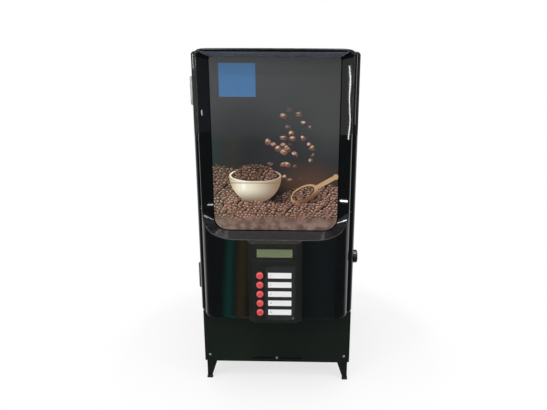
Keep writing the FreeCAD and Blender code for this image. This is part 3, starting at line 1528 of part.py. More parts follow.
def switch_rocker():
    """Rocker of the mains switch, lying at its off end."""
    w = rocker_width / 2.0 - 1.2 - rocker_play
    h = rocker_height / 2.0 - 1.2 - 2 * rocker_play
    x0 = rocker_x - w
    points = [(-5.0, -h + 1.4), (0.5, -h), (3.4, -h), (1.8, 0.0), (3.4, h), (0.5, h), (-5.0, h - 1.4)]
    body = flat_prism([(x0, cabinet_rear + y, rocker_z + z) for y, z in points], (2 * w, 0, 0))
    pin = rod((x0 - rocker_play - 0.7, cabinet_rear, rocker_z), (1, 0, 0), 1.0,
              2 * w + 2 * rocker_play + 1.4)
    body = body.fuse(pin).removeSplitter()
    body.rotate(Vector(rocker_x, cabinet_rear, rocker_z), Vector(1, 0, 0), -rocker_swing)
    return body


def all_nodes():
    """Every sub-part by its node name."""
    nodes = {
        "cabinet_wrap": cabinet_wrap(),
        "base_pan": base_pan(),
        "base_front_plate": base_front_plate(),
        "panel_screws": panel_screws(),
        "rear_panel": rear_panel(),
        "deck_plate": deck_plate(),
        "legs": legs(),
        "leg_caps": leg_caps(),
        "door_shell": door_shell(),
        "picture_panel": picture_panel(),
        "control_housing": control_housing(),
        "display_window": display_window(),
        "display_module": display_module(),
        "label_plate": label_plate(),
        "labels": labels(),
        "switch_board": switch_board(),
        "hinge_cabinet_leaves": hinge_cabinet_leaves(),
        "hinge_door_leaves": hinge_door_leaves(),
        "hinge_pins": hinge_pins(),
        "lock_barrel": lock_barrel(),
        "lock_nut": lock_nut(),
        "lock_plug": lock_plug(),
        "lock_keeper": lock_keeper(),
        "canisters": Part.makeCompound([canister(x) for x in canister_centres()]),
        "chutes": chutes(),
        "canister_shelf": canister_shelf(),
        "auger_motors": auger_motors(),
        "bulkhead": bulkhead(),
        "mixing_bowls": mixing_bowls(),
        "whipper_motors": whipper_motors(),
        "nozzle_block": nozzle_block(),
        "nozzle_bracket": nozzle_bracket(),
        "boiler_tank": boiler_tank(),
        "heater_element": heater_element(),
        "level_probe": level_probe(),
        "water_valves": water_valves(),
        "water_pump": water_pump(),
        "hoses": Part.makeCompound(product_hoses() + water_hoses() + feed_hoses()),
        "water_inlet": water_inlet(),
        "transformer": transformer(),
        "main_board": main_board(),
        "fan_frame": fan_frame(),
        "fan_rotor": fan_rotor(),
        "mains_socket": mains_socket(),
        "switch_frame": switch_frame(),
        "switch_rocker": switch_rocker(),
    }
    for number, (x, z) in enumerate(button_places(), start=1):
        nodes["button_%d" % number] = button(x, z)
    for number, x in enumerate(canister_centres(), start=1):
        nodes["canister_flap_%d" % number] = canister_flap(x)
        nodes["auger_%d" % number] = auger(x)
        nodes["whipper_%d" % number] = whipper(x)
    return nodes


def main():
    """Write every sub-part to its own file."""
    os.makedirs("parts", exist_ok=True)
    nodes = all_nodes()
    for name, shape in nodes.items():
        shape.exportStep(os.path.join("parts", name + ".step"))
        print(name, len(shape.Solids), "solids", round(shape.Volume), "mm3", shape.isValid())
    print(len(nodes), "nodes")


if __name__ == "__main__":
    main()
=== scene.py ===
"""Looks of the instant coffee machine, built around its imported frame."""
from __future__ import annotations

import json
import logging
import math
from dataclasses import dataclass
from enum import Enum
from functools import partial, reduce
from itertools import product
from typing import Optional, Sequence, Union

import bmesh
import bpy
from mathutils import Matrix, Vector


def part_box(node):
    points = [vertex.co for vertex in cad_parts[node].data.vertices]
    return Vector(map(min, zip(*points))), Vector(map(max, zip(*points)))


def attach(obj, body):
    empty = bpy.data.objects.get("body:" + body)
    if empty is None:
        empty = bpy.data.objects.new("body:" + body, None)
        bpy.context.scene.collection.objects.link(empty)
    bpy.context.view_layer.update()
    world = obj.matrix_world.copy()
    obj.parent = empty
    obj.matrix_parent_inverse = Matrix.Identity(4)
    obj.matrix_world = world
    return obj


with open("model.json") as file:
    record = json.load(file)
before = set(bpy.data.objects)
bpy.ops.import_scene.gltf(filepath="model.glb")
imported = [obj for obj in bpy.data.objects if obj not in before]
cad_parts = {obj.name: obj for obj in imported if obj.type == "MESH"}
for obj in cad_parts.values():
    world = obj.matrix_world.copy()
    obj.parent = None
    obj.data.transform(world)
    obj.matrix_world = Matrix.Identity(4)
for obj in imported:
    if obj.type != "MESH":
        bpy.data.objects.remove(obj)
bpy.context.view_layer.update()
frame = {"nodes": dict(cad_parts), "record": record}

Colour = tuple[float, float, float]
Point = tuple[float, float, float]
Flat = tuple[float, float]
Socket = bpy.types.NodeSocket
Value = Union[float, Socket]
WHITE: Colour = (1.0, 1.0, 1.0)
FRONT: Point = (0.0, -1.0, 0.0)
REAR: Point = (0.0, 1.0, 0.0)
log = logging.getLogger("coffee_machine")


# Shader nodes and the groups that finishes share

class Nodes:
    """Adds shader nodes to one tree and joins them."""

    def __init__(self, tree: bpy.types.NodeTree) -> None:
        """Starts on a tree.

        Args:
            tree: the node tree that gets the nodes.
        """
        self.tree = tree

    def add(self, kind: str, inputs: Optional[dict] = None, **settings) -> bpy.types.Node:
        """Adds one node.

        Args:
            kind: the node's Blender type.
            inputs: values or sockets for its inputs, by name or number.
            settings: attributes of the node.

        Returns:
            The new node.
        """
        node = self.tree.nodes.new(kind)
        for name, value in settings.items():
            setattr(node, name, value)
        for key, value in (inputs or {}).items():
            self.feed(node.inputs[key], value)
        return node

    def feed(self, socket: Socket, value: Value | Colour) -> None:
        """Links a socket to an input, or writes a value into it.

        Args:
            socket: the input.
            value: another node's output, a number or a colour.
        """
        if isinstance(value, Socket):
            self.tree.links.new(value, socket)
        elif socket.type == "RGBA" and len(value) == 3:
            socket.default_value = (*value, 1.0)
        else:
            socket.default_value = value

    def math(self, operation: str, first: Value, second: Value = 0.0) -> Socket:
        """Returns what a Math node makes of one or two numbers or sockets."""
        return self.add("ShaderNodeMath", {0: first, 1: second}, operation=operation).outputs[0]

    def times(self, *factors: Value) -> Socket:
        """Returns the product of numbers and sockets."""
        return reduce(partial(self.math, "MULTIPLY"), factors)

    def plus(self, *terms: Value) -> Socket:
        """Returns the sum of numbers and sockets."""
        return reduce(partial(self.math, "ADD"), terms)

    def most(self, *values: Value) -> Socket:
        """Returns the largest of numbers and sockets."""
        return reduce(partial(self.math, "MAXIMUM"), values)

    def minus(self, first: Value, second: Value) -> Socket:
        """Returns the first value less the second."""
        return self.math("SUBTRACT", first, second)

    def over(self, first: Value, second: Value) -> Socket:
        """Returns the first value divided by the second."""
        return self.math("DIVIDE", first, second)

    def swing(self, noise: Value, amount: Value) -> Socket:
        """Returns a noise value made to swing round zero by an amount."""
        return self.times(self.minus(noise, 0.5), amount)

    def ramp(self, value: Value, low: float, high: float, start: float = 0.0, end: float = 1.0) -> Socket:
        """Returns a value whose range from low to high is mapped smoothly to start to end."""
        node = self.add("ShaderNodeMapRange", {0: value, 1: low, 2: high, 3: start, 4: end},
                        interpolation_type="SMOOTHSTEP")
        return node.outputs[0]

    def mix(self, factor: Value, first: Socket | Colour, second: Socket | Colour,
            blend: str = "MIX") -> Socket:
        """Returns the mix of two colours; the factor says how much of the second one."""
        inputs = {0: factor, 6: first, 7: second}
        return self.add("ShaderNodeMix", inputs, data_type="RGBA", blend_type=blend).outputs[2]

    def grey(self, value: Value) -> Socket:
        """Returns the grey of a value."""
        return self.add("ShaderNodeCombineColor", {0: value, 1: value, 2: value}).outputs[0]

    def place(self) -> Socket:
        """Returns the piece's own coordinates, in metres."""
        return self.add("ShaderNodeTexCoord").outputs["Object"]

    def split(self, vector: Socket) -> bpy.types.bpy_prop_collection:
        """Returns the three coordinates of a vector."""
        return self.add("ShaderNodeSeparateXYZ", {0: vector}).outputs

    def vector(self, operation: str, first: Socket, second: Socket | Point) -> Socket:
        """Returns the vector that a Vector Math node makes of two."""
        return self.add("ShaderNodeVectorMath", {0: first, 1: second}, operation=operation).outputs[0]

    def noise(self, where: Socket, scale: Value, detail: float = 3.0) -> Socket:
        """Returns a noise value at some coordinates."""
        inputs = {"Vector": where, "Scale": scale, "Detail": detail}
        return self.add("ShaderNodeTexNoise", inputs).outputs["Fac"]

    def bump(self, height: Socket, strength: Value, distance: float,
             normal: Optional[Socket] = None) -> Socket:
        """Returns the normal that a relief of some depth in metres gives, over another one if given."""
        inputs = {"Height": height, "Strength": strength, "Distance": distance}
        if normal is not None:
            inputs["Normal"] = normal
        return self.add("ShaderNodeBump", inputs).outputs[0]

    def effect(self, effect: Effect, **inputs: Value | Colour) -> bpy.types.bpy_prop_collection:
        """Places a shared effect and returns its outputs; in the inputs' names _ stands for a space."""
        named = {name.replace("_", " "): value for name, value in inputs.items()}
        return self.add("ShaderNodeGroup", named, node_tree=effect.group()).outputs


class Effect(Enum):
    """Effects that several finishes share, each one node group."""

    TONE = "tone_variation"
    GRAIN = "surface_grain"
    BRUSH = "brushed_lines"
    DUST = "settled_dust"
    EDGE = "edge_wear_and_highlight"

    def group(self) -> bpy.types.NodeTree:
        """Returns the effect's node group, made when it is first used."""
        found = bpy.data.node_groups.get(self.value)
        if not found:
            found = bpy.data.node_groups.new(self.value, "ShaderNodeTree")
            getattr(EffectTree(found), self.name.lower())()
        return found


class EffectTree(Nodes):
    """A shared node group. Each method after the first draws the effect of its name."""

    def open(self, inputs: dict[str, float | Colour], outputs: dict[str, str]) -> None:
        """Gives the group its sockets.

        Args:
            inputs: names and default values; three numbers make a colour.
            outputs: names and kinds.
        """
        socket = self.tree.interface.new_socket
        for name, value in inputs.items():
            kind, value = ("Float", value) if isinstance(value, float) else ("Color", (*value, 1.0))
            socket(name=name, in_out="INPUT", socket_type=f"NodeSocket{kind}").default_value = value
        for name, kind in outputs.items():
            socket(name=name, in_out="OUTPUT", socket_type=f"NodeSocket{kind}")
        self.given, self.out = self.add("NodeGroupInput").outputs, self.add("NodeGroupOutput").inputs

    def tone(self) -> None:
        """Varies colour and roughness a little over a surface."""
        self.open({"Colour": (0.5, 0.5, 0.5), "Amount": 0.1, "Scale": 20.0, "Roughness": 0.4, "Spread": 0.1},
                  {"Colour": "Color", "Roughness": "Float"})
        given, where = self.given, self.place()
        light = self.plus(self.swing(self.noise(where, given["Scale"], 5.0), given["Amount"]), 1.0)
        self.feed(self.out["Colour"], self.mix(1.0, given["Colour"], self.grey(light), "MULTIPLY"))
        fine = self.noise(where, self.times(given["Scale"], 4.0), 4.0)
        self.feed(self.out["Roughness"], self.plus(self.swing(fine, given["Spread"]), given["Roughness"]))

    def grain(self) -> None:
        """Rounds a surface's edges in the light and gives it a broad and a fine relief."""
        self.open({"Fine scale": 900.0, "Fine height": 0.2, "Wave scale": 9.0, "Wave height": 0.0,
                   "Edge radius": 0.0003}, {"Normal": "Vector"})
        given, where = self.given, self.place()
        normal = self.add("ShaderNodeBevel", {"Radius": given["Edge radius"]}, samples=6).outputs[0]
        for relief, detail, depth in (("Wave", 1.0, 0.004), ("Fine", 2.0, 0.0003)):
            height = self.noise(where, given[f"{relief} scale"], detail)
            normal = self.bump(height, given[f"{relief} height"], depth, normal)
        self.feed(self.out["Normal"], normal)

    def brush(self) -> None:
        """Draws fine brushed or rolled lines."""
        self.open({"Along X": 6.0, "Along Y": 400.0, "Along Z": 400.0, "Height": 0.2},
                  {"Lines": "Float", "Normal": "Vector"})
        stretch = self.add("ShaderNodeCombineXYZ", {axis: self.given[axis] for axis in range(3)}).outputs[0]
        lines = self.noise(self.vector("MULTIPLY", self.place(), stretch), 1.0, 4.0)
        self.feed(self.out["Lines"], lines)
        self.feed(self.out["Normal"], self.bump(lines, self.given["Height"], 0.0002))

    def dust(self) -> None:
        """Lays thin dust on what faces up."""
        self.open({"Colour": (0.1, 0.1, 0.1), "Dust": (0.35, 0.33, 0.30), "Amount": 0.1, "Roughness": 0.3},
                  {"Colour": "Color", "Roughness": "Float"})
        given = self.given
        up = self.split(self.add("ShaderNodeNewGeometry").outputs["Normal"])[2]
        patches = self.ramp(self.noise(self.place(), 260.0, 6.0), 0.15, 0.95)
        mask = self.times(self.ramp(up, 0.3, 1.0), patches, given["Amount"])
        self.feed(self.out["Colour"], self.mix(mask, given["Colour"], given["Dust"]))
        self.feed(self.out["Roughness"], self.plus(given["Roughness"], self.times(mask, 0.8)))

    def edge(self) -> None:
        """Lightens corners: on most finishes wear where handling has polished them, on the red buttons a
        painted highlight.
        """
        self.open({"Colour": (0.1, 0.1, 0.1), "Edge colour": (0.2, 0.2, 0.2), "Amount": 0.5, "Width": 0.001},
                  {"Colour": "Color"})
        given = self.given
        soft = self.add("ShaderNodeBevel", {"Radius": given["Width"]}, samples=4).outputs[0]
        flat = self.add("ShaderNodeNewGeometry").outputs["Normal"]
        facing = self.add("ShaderNodeVectorMath", {0: soft, 1: flat}, operation="DOT_PRODUCT").outputs[1]
        broken = self.ramp(self.noise(self.place(), 140.0, 4.0), 0.4, 0.65)
        mask = self.times(self.ramp(facing, 0.99, 0.85), broken, given["Amount"])
        self.feed(self.out["Colour"], self.mix(mask, given["Colour"], given["Edge colour"]))


# Finishes

@dataclass(frozen=True)
class Finish:
    """A surface finish of painted, moulded or bare material."""

    name: str
    colour: Colour
    roughness: float = 0.4
    metallic: float = 0.0
    specular: float = 0.5
    coat: float = 0.0
    variation: float = 0.15
    variation_scale: float = 25.0
    roughness_spread: float = 0.1
    fine_scale: float = 900.0
    fine_height: float = 0.15
    wave_scale: float = 9.0
    wave_height: float = 0.0
    edge_radius: float = 0.0003
    dust: float = 0.0
    edge_colour: Optional[Colour] = None
    edge_width: float = 0.0008
    brushed: Optional[Point] = None
    subsurface: float = 0.0
    transmission: float = 0.0
    glow: float = 0.0
    slot: str = ""

    def paint(self, n: Nodes) -> Socket | Colour:
        """Returns the base colour before the shared effects; patterned finishes override it."""
        return self.colour

    def relief(self, n: Nodes, rough: Socket) -> tuple[Socket, Socket]:
        """Gives the surface its lines or its grain.

        Args:
            n: the material's nodes.
            rough: the roughness so far.

        Returns:
            The roughness and the normal.
        """
        if self.brushed:
            x, y, z = self.brushed
            bumps = n.effect(Effect.BRUSH, Along_X=x, Along_Y=y, Along_Z=z, Height=self.fine_height)
            return n.plus(rough, n.swing(bumps["Lines"], 0.2)), bumps["Normal"]
        bumps = n.effect(Effect.GRAIN, Fine_scale=self.fine_scale, Fine_height=self.fine_height,
                         Wave_scale=self.wave_scale, Wave_height=self.wave_height,
                        Edge_radius=self.edge_radius)
        return rough, bumps["Normal"]

    def material(self) -> bpy.types.Material:
        """Returns the finish's material, made when it is first used."""
        found = bpy.data.materials.get(f"{self.name}_finish")
        if found:
            return found
        made = bpy.data.materials.new(f"{self.name}_finish")
        made.use_nodes = True
        made.node_tree.nodes.clear()
        n = Nodes(made.node_tree)
        tone = n.effect(Effect.TONE, Colour=self.paint(n), Amount=self.variation, Scale=self.variation_scale,
                        Roughness=self.roughness, Spread=self.roughness_spread)
        colour, rough = tone["Colour"], tone["Roughness"]
        # edge colour: wear on most finishes, a painted highlight on the red buttons
        if self.edge_colour:
            edged = n.effect(Effect.EDGE, Colour=colour, Edge_colour=self.edge_colour, Width=self.edge_width)
            colour = edged["Colour"]
        if self.dust:
            dusty = n.effect(Effect.DUST, Colour=colour, Amount=self.dust, Roughness=rough)
            colour, rough = dusty["Colour"], dusty["Roughness"]
        rough, normal = self.relief(n, rough)
        shader = n.add("ShaderNodeBsdfPrincipled", {
            "Base Color": colour, "Roughness": rough, "Metallic": self.metallic,
            "Specular IOR Level": self.specular, "Coat Weight": self.coat, "Coat Roughness": 0.04,
            "Subsurface Weight": self.subsurface, "Subsurface Scale": 0.004,
            "Transmission Weight": self.transmission, "Normal": normal,
            "Emission Color": self.colour, "Emission Strength": self.glow})
        n.add("ShaderNodeOutputMaterial", {0: shader.outputs[0]})
        return made

    def dress(self, piece: bpy.types.Object) -> None:
        """Gives a piece this finish all over.

        Args:
            piece: the piece or carried-over node.
        """
        piece.data.materials.clear()
        piece.data.materials.append(self.material())


@dataclass(frozen=True)
class PictureFinish(Finish):
    """The printed panel's finish."""

    centre_z: float = 0.4707
    half_width: float = 0.112
    half_height: float = 0.1507
    bean: float = 0.0066
    falling_bean: float = 0.0120

    def paint(self, n: Nodes) -> Socket:
        """Draws the print."""
        return PicturePrint(n.tree, self).draw()


class PicturePrint(Nodes):
    """Draws a plain blue square over a dark still life of beans, a bowl and a scoop."""

    def __init__(self, tree: bpy.types.NodeTree, finish: PictureFinish) -> None:
        """Sets up the picture's coordinates.

        Args:
            tree: the material's node tree.
            finish: the panel's finish.
        """
        super().__init__(tree)
        place = self.split(self.place())
        x, z = place[0], self.minus(place[2], finish.centre_z)
        self.metres = (x, z)
        self.shares = (self.over(x, finish.half_width), self.over(z, finish.half_height))
        self.flat = self.add("ShaderNodeCombineXYZ", {0: x, 1: self.times(z, 1.25)}).outputs[0]
        self.finish = finish

    def ellipse(self, point: tuple, middle: Flat, radii: Flat) -> Socket:
        """Returns how far a point lies from an ellipse's middle, one on its edge."""
        across, up = (self.over(self.minus(p, m), r) for p, m, r in zip(point, middle, radii))
        return self.math("SQRT", self.plus(self.times(across, across), self.times(up, up)))

    def disc(self, point: tuple, middle: Flat, radii: Flat, solid: float = 0.0) -> Socket:
        """Returns an ellipse's mask, full over a solid share of it and fading to its edge."""
        return self.ramp(self.ellipse(point, middle, radii), 1.0, solid)

    def turned(self, middle: Flat, angle: float) -> tuple[Socket, Socket]:
        """Returns coordinates along and across a turned axis.

        Args:
            middle: where both are zero.
            angle: the axis's angle, in degrees.

        Returns:
            Sockets of both.
        """
        cos, sin = math.cos(math.radians(angle)), math.sin(math.radians(angle))
        dx, dz = (self.minus(p, m) for p, m in zip(self.metres, middle))
        return (self.plus(self.times(dx, cos), self.times(dz, sin)),
                self.minus(self.times(dz, cos), self.times(dx, sin)))

    def beans(self, shift: Point, size: float) -> tuple[Socket, Socket, Socket]:
        """Draws one layer of roasted beans.

        Args:
            shift: moves the layer's pattern.
            size: size of a bean.

        Returns:
            The beans' colour, their mask and a chance value for each bean.
        """
        moved = self.vector("ADD", self.flat, shift)
        cells = self.add("ShaderNodeTexVoronoi", {"Vector": moved, "Scale": 1.0 / size, "Randomness": 0.9},
                         voronoi_dimensions="2D").outputs
        chance = self.add("ShaderNodeSeparateColor", {0: cells["Color"]}).outputs
        offset = self.vector("SUBTRACT", moved, cells["Position"])
        turned = self.add("ShaderNodeVectorRotate", {"Vector": offset, "Angle": self.times(chance[0], 6.28)},
                          rotation_type="Z_AXIS").outputs[0]
        along, across, _ = self.split(turned)
        body = self.disc((along, across), (0.0, 0.0), (size * 0.66, size * 0.47), 0.88)
        gleam = self.disc(self.split(offset)[:2], (-0.12 * size, 0.20 * size), (size * 0.50, size * 0.42))
        wave = self.times(self.math("SINE", self.times(along, 6.5 / size)), 0.03 * size)
        crease = self.ramp(self.math("ABSOLUTE", self.plus(across, wave)), 0.085 * size, 0.015 * size)
        base = self.mix(chance[1], (0.050, 0.020, 0.013), (0.26, 0.115, 0.075))
        lit = self.mix(self.times(gleam, self.ramp(chance[2], 0.0, 1.0, 0.45, 1.0)), base, (0.80, 0.56, 0.45))
        return self.mix(self.times(crease, 0.9), lit, (0.010, 0.004, 0.003)), body, chance[2]

    def air(self) -> Socket:
        """Draws the charcoal background with a few falling beans."""
        u, v = self.shares
        height = self.plus(v, self.swing(self.noise(self.flat, 9.0, 4.0), 0.6))
        shade = self.mix(self.ramp(height, 0.0, 0.9), (0.029, 0.030, 0.033), (0.053, 0.056, 0.057))
        right = self.times(self.ramp(u, 0.1, 0.9), self.ramp(v, -0.3, 0.3))
        shade = self.mix(right, shade, (0.051, 0.053, 0.050))
        dusk = self.disc(self.shares, (-0.6, 0.08), (0.75, 0.62), 0.2)
        shade = self.mix(self.times(dusk, 0.55), shade, (0.012, 0.012, 0.016))
        shade = self.mix(self.ramp(height, -0.05, -0.5), shade, (0.021, 0.013, 0.011))
        warmth = self.disc(self.shares, (0.55, -0.42), (0.75, 0.34))
        shade = self.mix(self.times(warmth, 0.45), shade, (0.17, 0.082, 0.050))
        falling, body, chance = self.beans((0.004, 0.009, 0.0), self.finish.falling_bean)
        region = self.disc(self.shares, (0.22, 0.02), (0.42, 0.44), 0.8)
        return self.mix(self.times(body, region, self.ramp(chance, 0.70, 0.72)), shade, falling)

    def bowl(self, scene: Socket, filling: Socket) -> Socket:
        """Draws the cream bowl over the scene.

        Args:
            scene: the colour so far.
            filling: what it is filled with.

        Returns:
            The new colour.
        """
        middle, wide, low, rim = (-0.036, -0.050), 0.047, 0.050, 0.0125
        side = self.over(self.minus(self.metres[0], middle[0]), wide)
        drop = self.over(self.minus(middle[1], self.metres[1]), low)
        glaze = self.mix(self.ramp(side, -0.45, 0.95), (0.90, 0.83, 0.66), (0.30, 0.20, 0.13))
        glaze = self.mix(self.ramp(side, -0.6, -1.0), glaze, (0.55, 0.44, 0.30))
        glaze = self.mix(self.ramp(drop, 0.45, 1.0), glaze, (0.22, 0.135, 0.085))
        gleam = self.disc(self.metres, (middle[0] - 0.021, middle[1] - 0.019), (0.006, 0.014), 0.1)
        glaze = self.mix(gleam, glaze, (0.98, 0.96, 0.90))
        band = self.times(self.ramp(drop, 0.24, 0.26), self.ramp(drop, 0.31, 0.29), 0.55)
        glaze = self.mix(band, glaze, (0.30, 0.16, 0.09))
        cup = self.times(self.disc(self.metres, middle, (wide, low), 0.985), self.ramp(drop, -0.01, 0.01))
        scene = self.mix(cup, scene, glaze)
        lip = self.mix(self.ramp(side, -0.6, 1.0), (0.95, 0.90, 0.76), (0.55, 0.42, 0.30))
        scene = self.mix(self.disc(self.metres, middle, (wide, rim), 0.97), scene, lip)
        inner = self.ellipse(self.metres, (middle[0], middle[1] - 0.0004), (wide - 0.0028, rim - 0.0022))
        scene = self.mix(self.ramp(inner, 1.0, 0.96), scene, (0.07, 0.035, 0.022))
        wobble = self.swing(self.noise(self.place(), 230.0, 1.0), 0.16)
        dome = self.ellipse(self.metres, (middle[0], middle[1] - 0.001), (wide - 0.0065, 0.021))
        mound = self.plus(dome, wobble)
        upper = self.times(self.ramp(mound, 1.0, 0.98), self.ramp(drop, 0.0, -0.02))
        return self.mix(self.most(upper, self.ramp(self.plus(inner, wobble), 0.93, 0.91)), scene, filling)

    def scoop(self, scene: Socket, filling: Socket) -> Socket:
        """Draws the wooden scoop over the scene.

        Args:
            scene: the colour so far.
            filling: what it is filled with.

        Returns:
            The new colour.
        """
        axes = along, across = self.turned((0.052, -0.083), 27.0)
        fibre = self.add("ShaderNodeCombineXYZ", {0: self.times(along, 30.0), 1: self.times(across, 520.0)})
        wood = self.mix(self.noise(fibre.outputs[0], 1.0, 4.0), (0.36, 0.19, 0.085), (0.74, 0.50, 0.28))
        wood = self.mix(self.ramp(across, 0.002, -0.012), wood, (0.16, 0.075, 0.035))
        edge = self.math("ABSOLUTE", self.plus(across, self.times(along, -0.04)))
        handle = self.times(self.ramp(along, 0.020, 0.021), self.ramp(along, 0.064, 0.062),
                            self.ramp(edge, 0.0040, 0.0036))
        for mask in (handle, self.disc(axes, (0.0635, 0.0026), (0.0050, 0.0052), 0.95),
                     self.disc(axes, (0.0, 0.0), (0.027, 0.0150), 0.97)):
            scene = self.mix(mask, scene, wood)
        hollow = self.ellipse(axes, (-0.0015, 0.0020), (0.0225, 0.0105))
        scene = self.mix(self.ramp(hollow, 1.0, 0.95), scene, (0.10, 0.045, 0.022))
        return self.mix(self.ramp(hollow, 0.88, 0.84), scene, filling)

    def shadow(self, scene: Socket, middle: Flat, radii: Flat, solid: float, depth: float) -> Socket:
        """Returns the scene with an elliptic shadow under a thing that stands in the beans."""
        mask = self.times(self.disc(self.metres, middle, radii, solid), depth)
        return self.mix(mask, scene, (0.010, 0.005, 0.004))

    def draw(self) -> Socket:
        """Draws the whole print and returns its colour."""
        (x, z), v, bean = self.metres, self.shares[1], self.finish.bean
        scene = self.air()
        under, under_mask, _ = self.beans((0.0031, 0.0047, 0.0), bean)
        over, over_mask, _ = self.beans((0.0, 0.0, 0.0), bean)
        heap = self.mix(over_mask, self.mix(under_mask, (0.012, 0.006, 0.005), under), over)
        heap = self.mix(1.0, heap, self.grey(self.ramp(v, -0.25, -0.75, 0.55, 1.0)), "MULTIPLY")
        wobble = self.swing(self.noise(self.flat, 150.0, 1.0), 0.13)
        left = self.ellipse(self.shares, (-0.95, -1.0), (1.0, 0.78))
        right = self.ellipse(self.shares, (0.72, -1.0), (1.0, 0.56))
        back = self.plus(self.math("MINIMUM", left, right), wobble)
        scene = self.mix(self.ramp(back, 1.01, 0.99), scene, heap)
        scene = self.shadow(scene, (-0.012, -0.092), (0.062, 0.030), 0.3, 0.75)
        scene = self.bowl(scene, heap)
        scene = self.shadow(scene, (0.056, -0.088), (0.036, 0.020), 0.4, 0.7)
        scene = self.scoop(scene, heap)
        ridge = self.plus(self.times(self.noise(self.flat, 18.0, 2.0), 0.10), self.times(wobble, 0.5))
        scene = self.mix(self.ramp(self.plus(v, ridge), -0.605, -0.615), scene, heap)
        table = self.mix(self.ramp(v, -0.85, -1.0), (0.26, 0.165, 0.130), (0.34, 0.235, 0.200))
        table = self.mix(self.ramp(self.noise(self.flat, 55.0, 3.0), 0.38, 0.62), table, (0.16, 0.090, 0.070))
        scene = self.mix(self.ramp(self.plus(v, self.times(wobble, 1.1)), -0.815, -0.875), scene, table)
        square = self.most(*(self.over(self.math("ABSOLUTE", self.minus(p, middle)), half)
                             for p, middle, half in ((x, -0.0647, 0.0314), (z, 0.1130, 0.0276))))
        return self.mix(self.ramp(square, 1.004, 0.996), scene, (0.055, 0.165, 0.350))


GLOSS_BLACK = Finish("gloss_black", (0.0038, 0.0044, 0.0050), 0.022, specular=0.34, variation=0.5,
                     roughness_spread=0.01, fine_height=0.0, fine_scale=500.0, wave_scale=13.0,
                     wave_height=0.07, edge_radius=0.0, dust=0.004)
BLACK_COAT = Finish("black_coat", (0.0085, 0.0130, 0.0098), 0.46, specular=0.2, variation=0.25,
                    fine_scale=1400.0, fine_height=0.6, dust=0.02, edge_colour=(0.05, 0.055, 0.05))
HOUSING_BLACK = Finish("housing_black", (0.0125, 0.0135, 0.0120), 0.36, specular=0.35, variation=0.2,
                       fine_scale=2200.0, fine_height=0.5, edge_colour=(0.09, 0.09, 0.088),
                       edge_width=0.0012, dust=0.05)
LABEL_BACK = Finish("label_back", (0.024, 0.025, 0.027), 0.34, specular=0.35, variation=0.2, fine_height=0.1)
LABEL_CARD = Finish("label_card", (0.86, 0.86, 0.86), 0.45, variation=0.05, fine_height=0.1)
# Painted highlight: the lighter edge colour of the red buttons stands in for the highlight ring on their
# rims.
BUTTON_RED = Finish("button_red", (0.76, 0.105, 0.100), 0.24, fine_height=0.05, edge_colour=(0.8, 0.16, 0.13))
DISPLAY_CLEAR = Finish("display_clear", (0.92, 0.94, 0.92), 0.04, transmission=1.0, variation=0.02,
                       roughness_spread=0.02, fine_height=0.02)
ZINC = Finish("zinc_steel", (0.39, 0.39, 0.38), 0.32, metallic=1.0, variation=0.3, variation_scale=90.0,
              roughness_spread=0.25, fine_scale=500.0, fine_height=0.25, dust=0.1)
NICKEL = Finish("brass_nickel", (0.62, 0.60, 0.56), 0.16, metallic=1.0, variation=0.1, fine_height=0.1)
STAINLESS = Finish("stainless", (0.56, 0.56, 0.55), 0.24, metallic=1.0, variation=0.1,
                   brushed=(700.0, 700.0, 8.0), fine_height=0.4)
LOCK_BLACK = Finish("lock_black", (0.008, 0.008, 0.009), 0.12, coat=0.5, variation=0.1, fine_height=0.05)
CANISTER = Finish("canister_white", (0.66, 0.67, 0.63), 0.30, variation=0.08, subsurface=0.15, dust=0.05)
NYLON = Finish("nylon_white", (0.58, 0.56, 0.50), 0.42, variation=0.1, subsurface=0.1, fine_height=0.3)
SILICONE = Finish("hose_silicone", (0.60, 0.60, 0.55), 0.34, variation=0.1, subsurface=0.3, fine_height=0.1)
MOTOR_BLACK = Finish("motor_black", (0.02, 0.02, 0.022), 0.35, variation=0.2, fine_height=0.3,
                     edge_colour=(0.25, 0.25, 0.25))
IRON = Finish("coil_iron", (0.06, 0.05, 0.045), 0.45, metallic=0.6, variation=0.3,
              brushed=(900.0, 6.0, 6.0), fine_height=0.6)
RUBBER = Finish("rubber_black", (0.012, 0.012, 0.012), 0.75, variation=0.3, fine_scale=700.0, fine_height=0.5,
                dust=0.2)
FITTING = Finish("fitting_black", (0.010, 0.010, 0.011), 0.42, variation=0.2, fine_scale=1300.0,
                 fine_height=0.4, edge_colour=(0.03, 0.03, 0.03))
CIRCUIT = Finish("circuit_green", (0.012, 0.11, 0.045), 0.28, coat=0.3, variation=0.2, fine_height=0.2)
DISPLAY_GLASS = Finish("display_glass", (0.31, 0.35, 0.205), 0.25, variation=0.08, fine_height=0.02,
                       glow=0.36)
PICTURE = PictureFinish("picture_print", (0.05, 0.045, 0.045), 0.16, coat=0.3, variation=0.06,
                        fine_height=0.04)
FINISH_OF_SLOT: dict[str, Finish] = {finish.name: finish for finish in (
    GLOSS_BLACK, BLACK_COAT, HOUSING_BLACK, LABEL_BACK, LABEL_CARD, BUTTON_RED, DISPLAY_CLEAR, ZINC, NICKEL,
    STAINLESS, LOCK_BLACK, CANISTER, NYLON, SILICONE, MOTOR_BLACK, IRON, RUBBER, FITTING, CIRCUIT,
    DISPLAY_GLASS, PICTURE)}
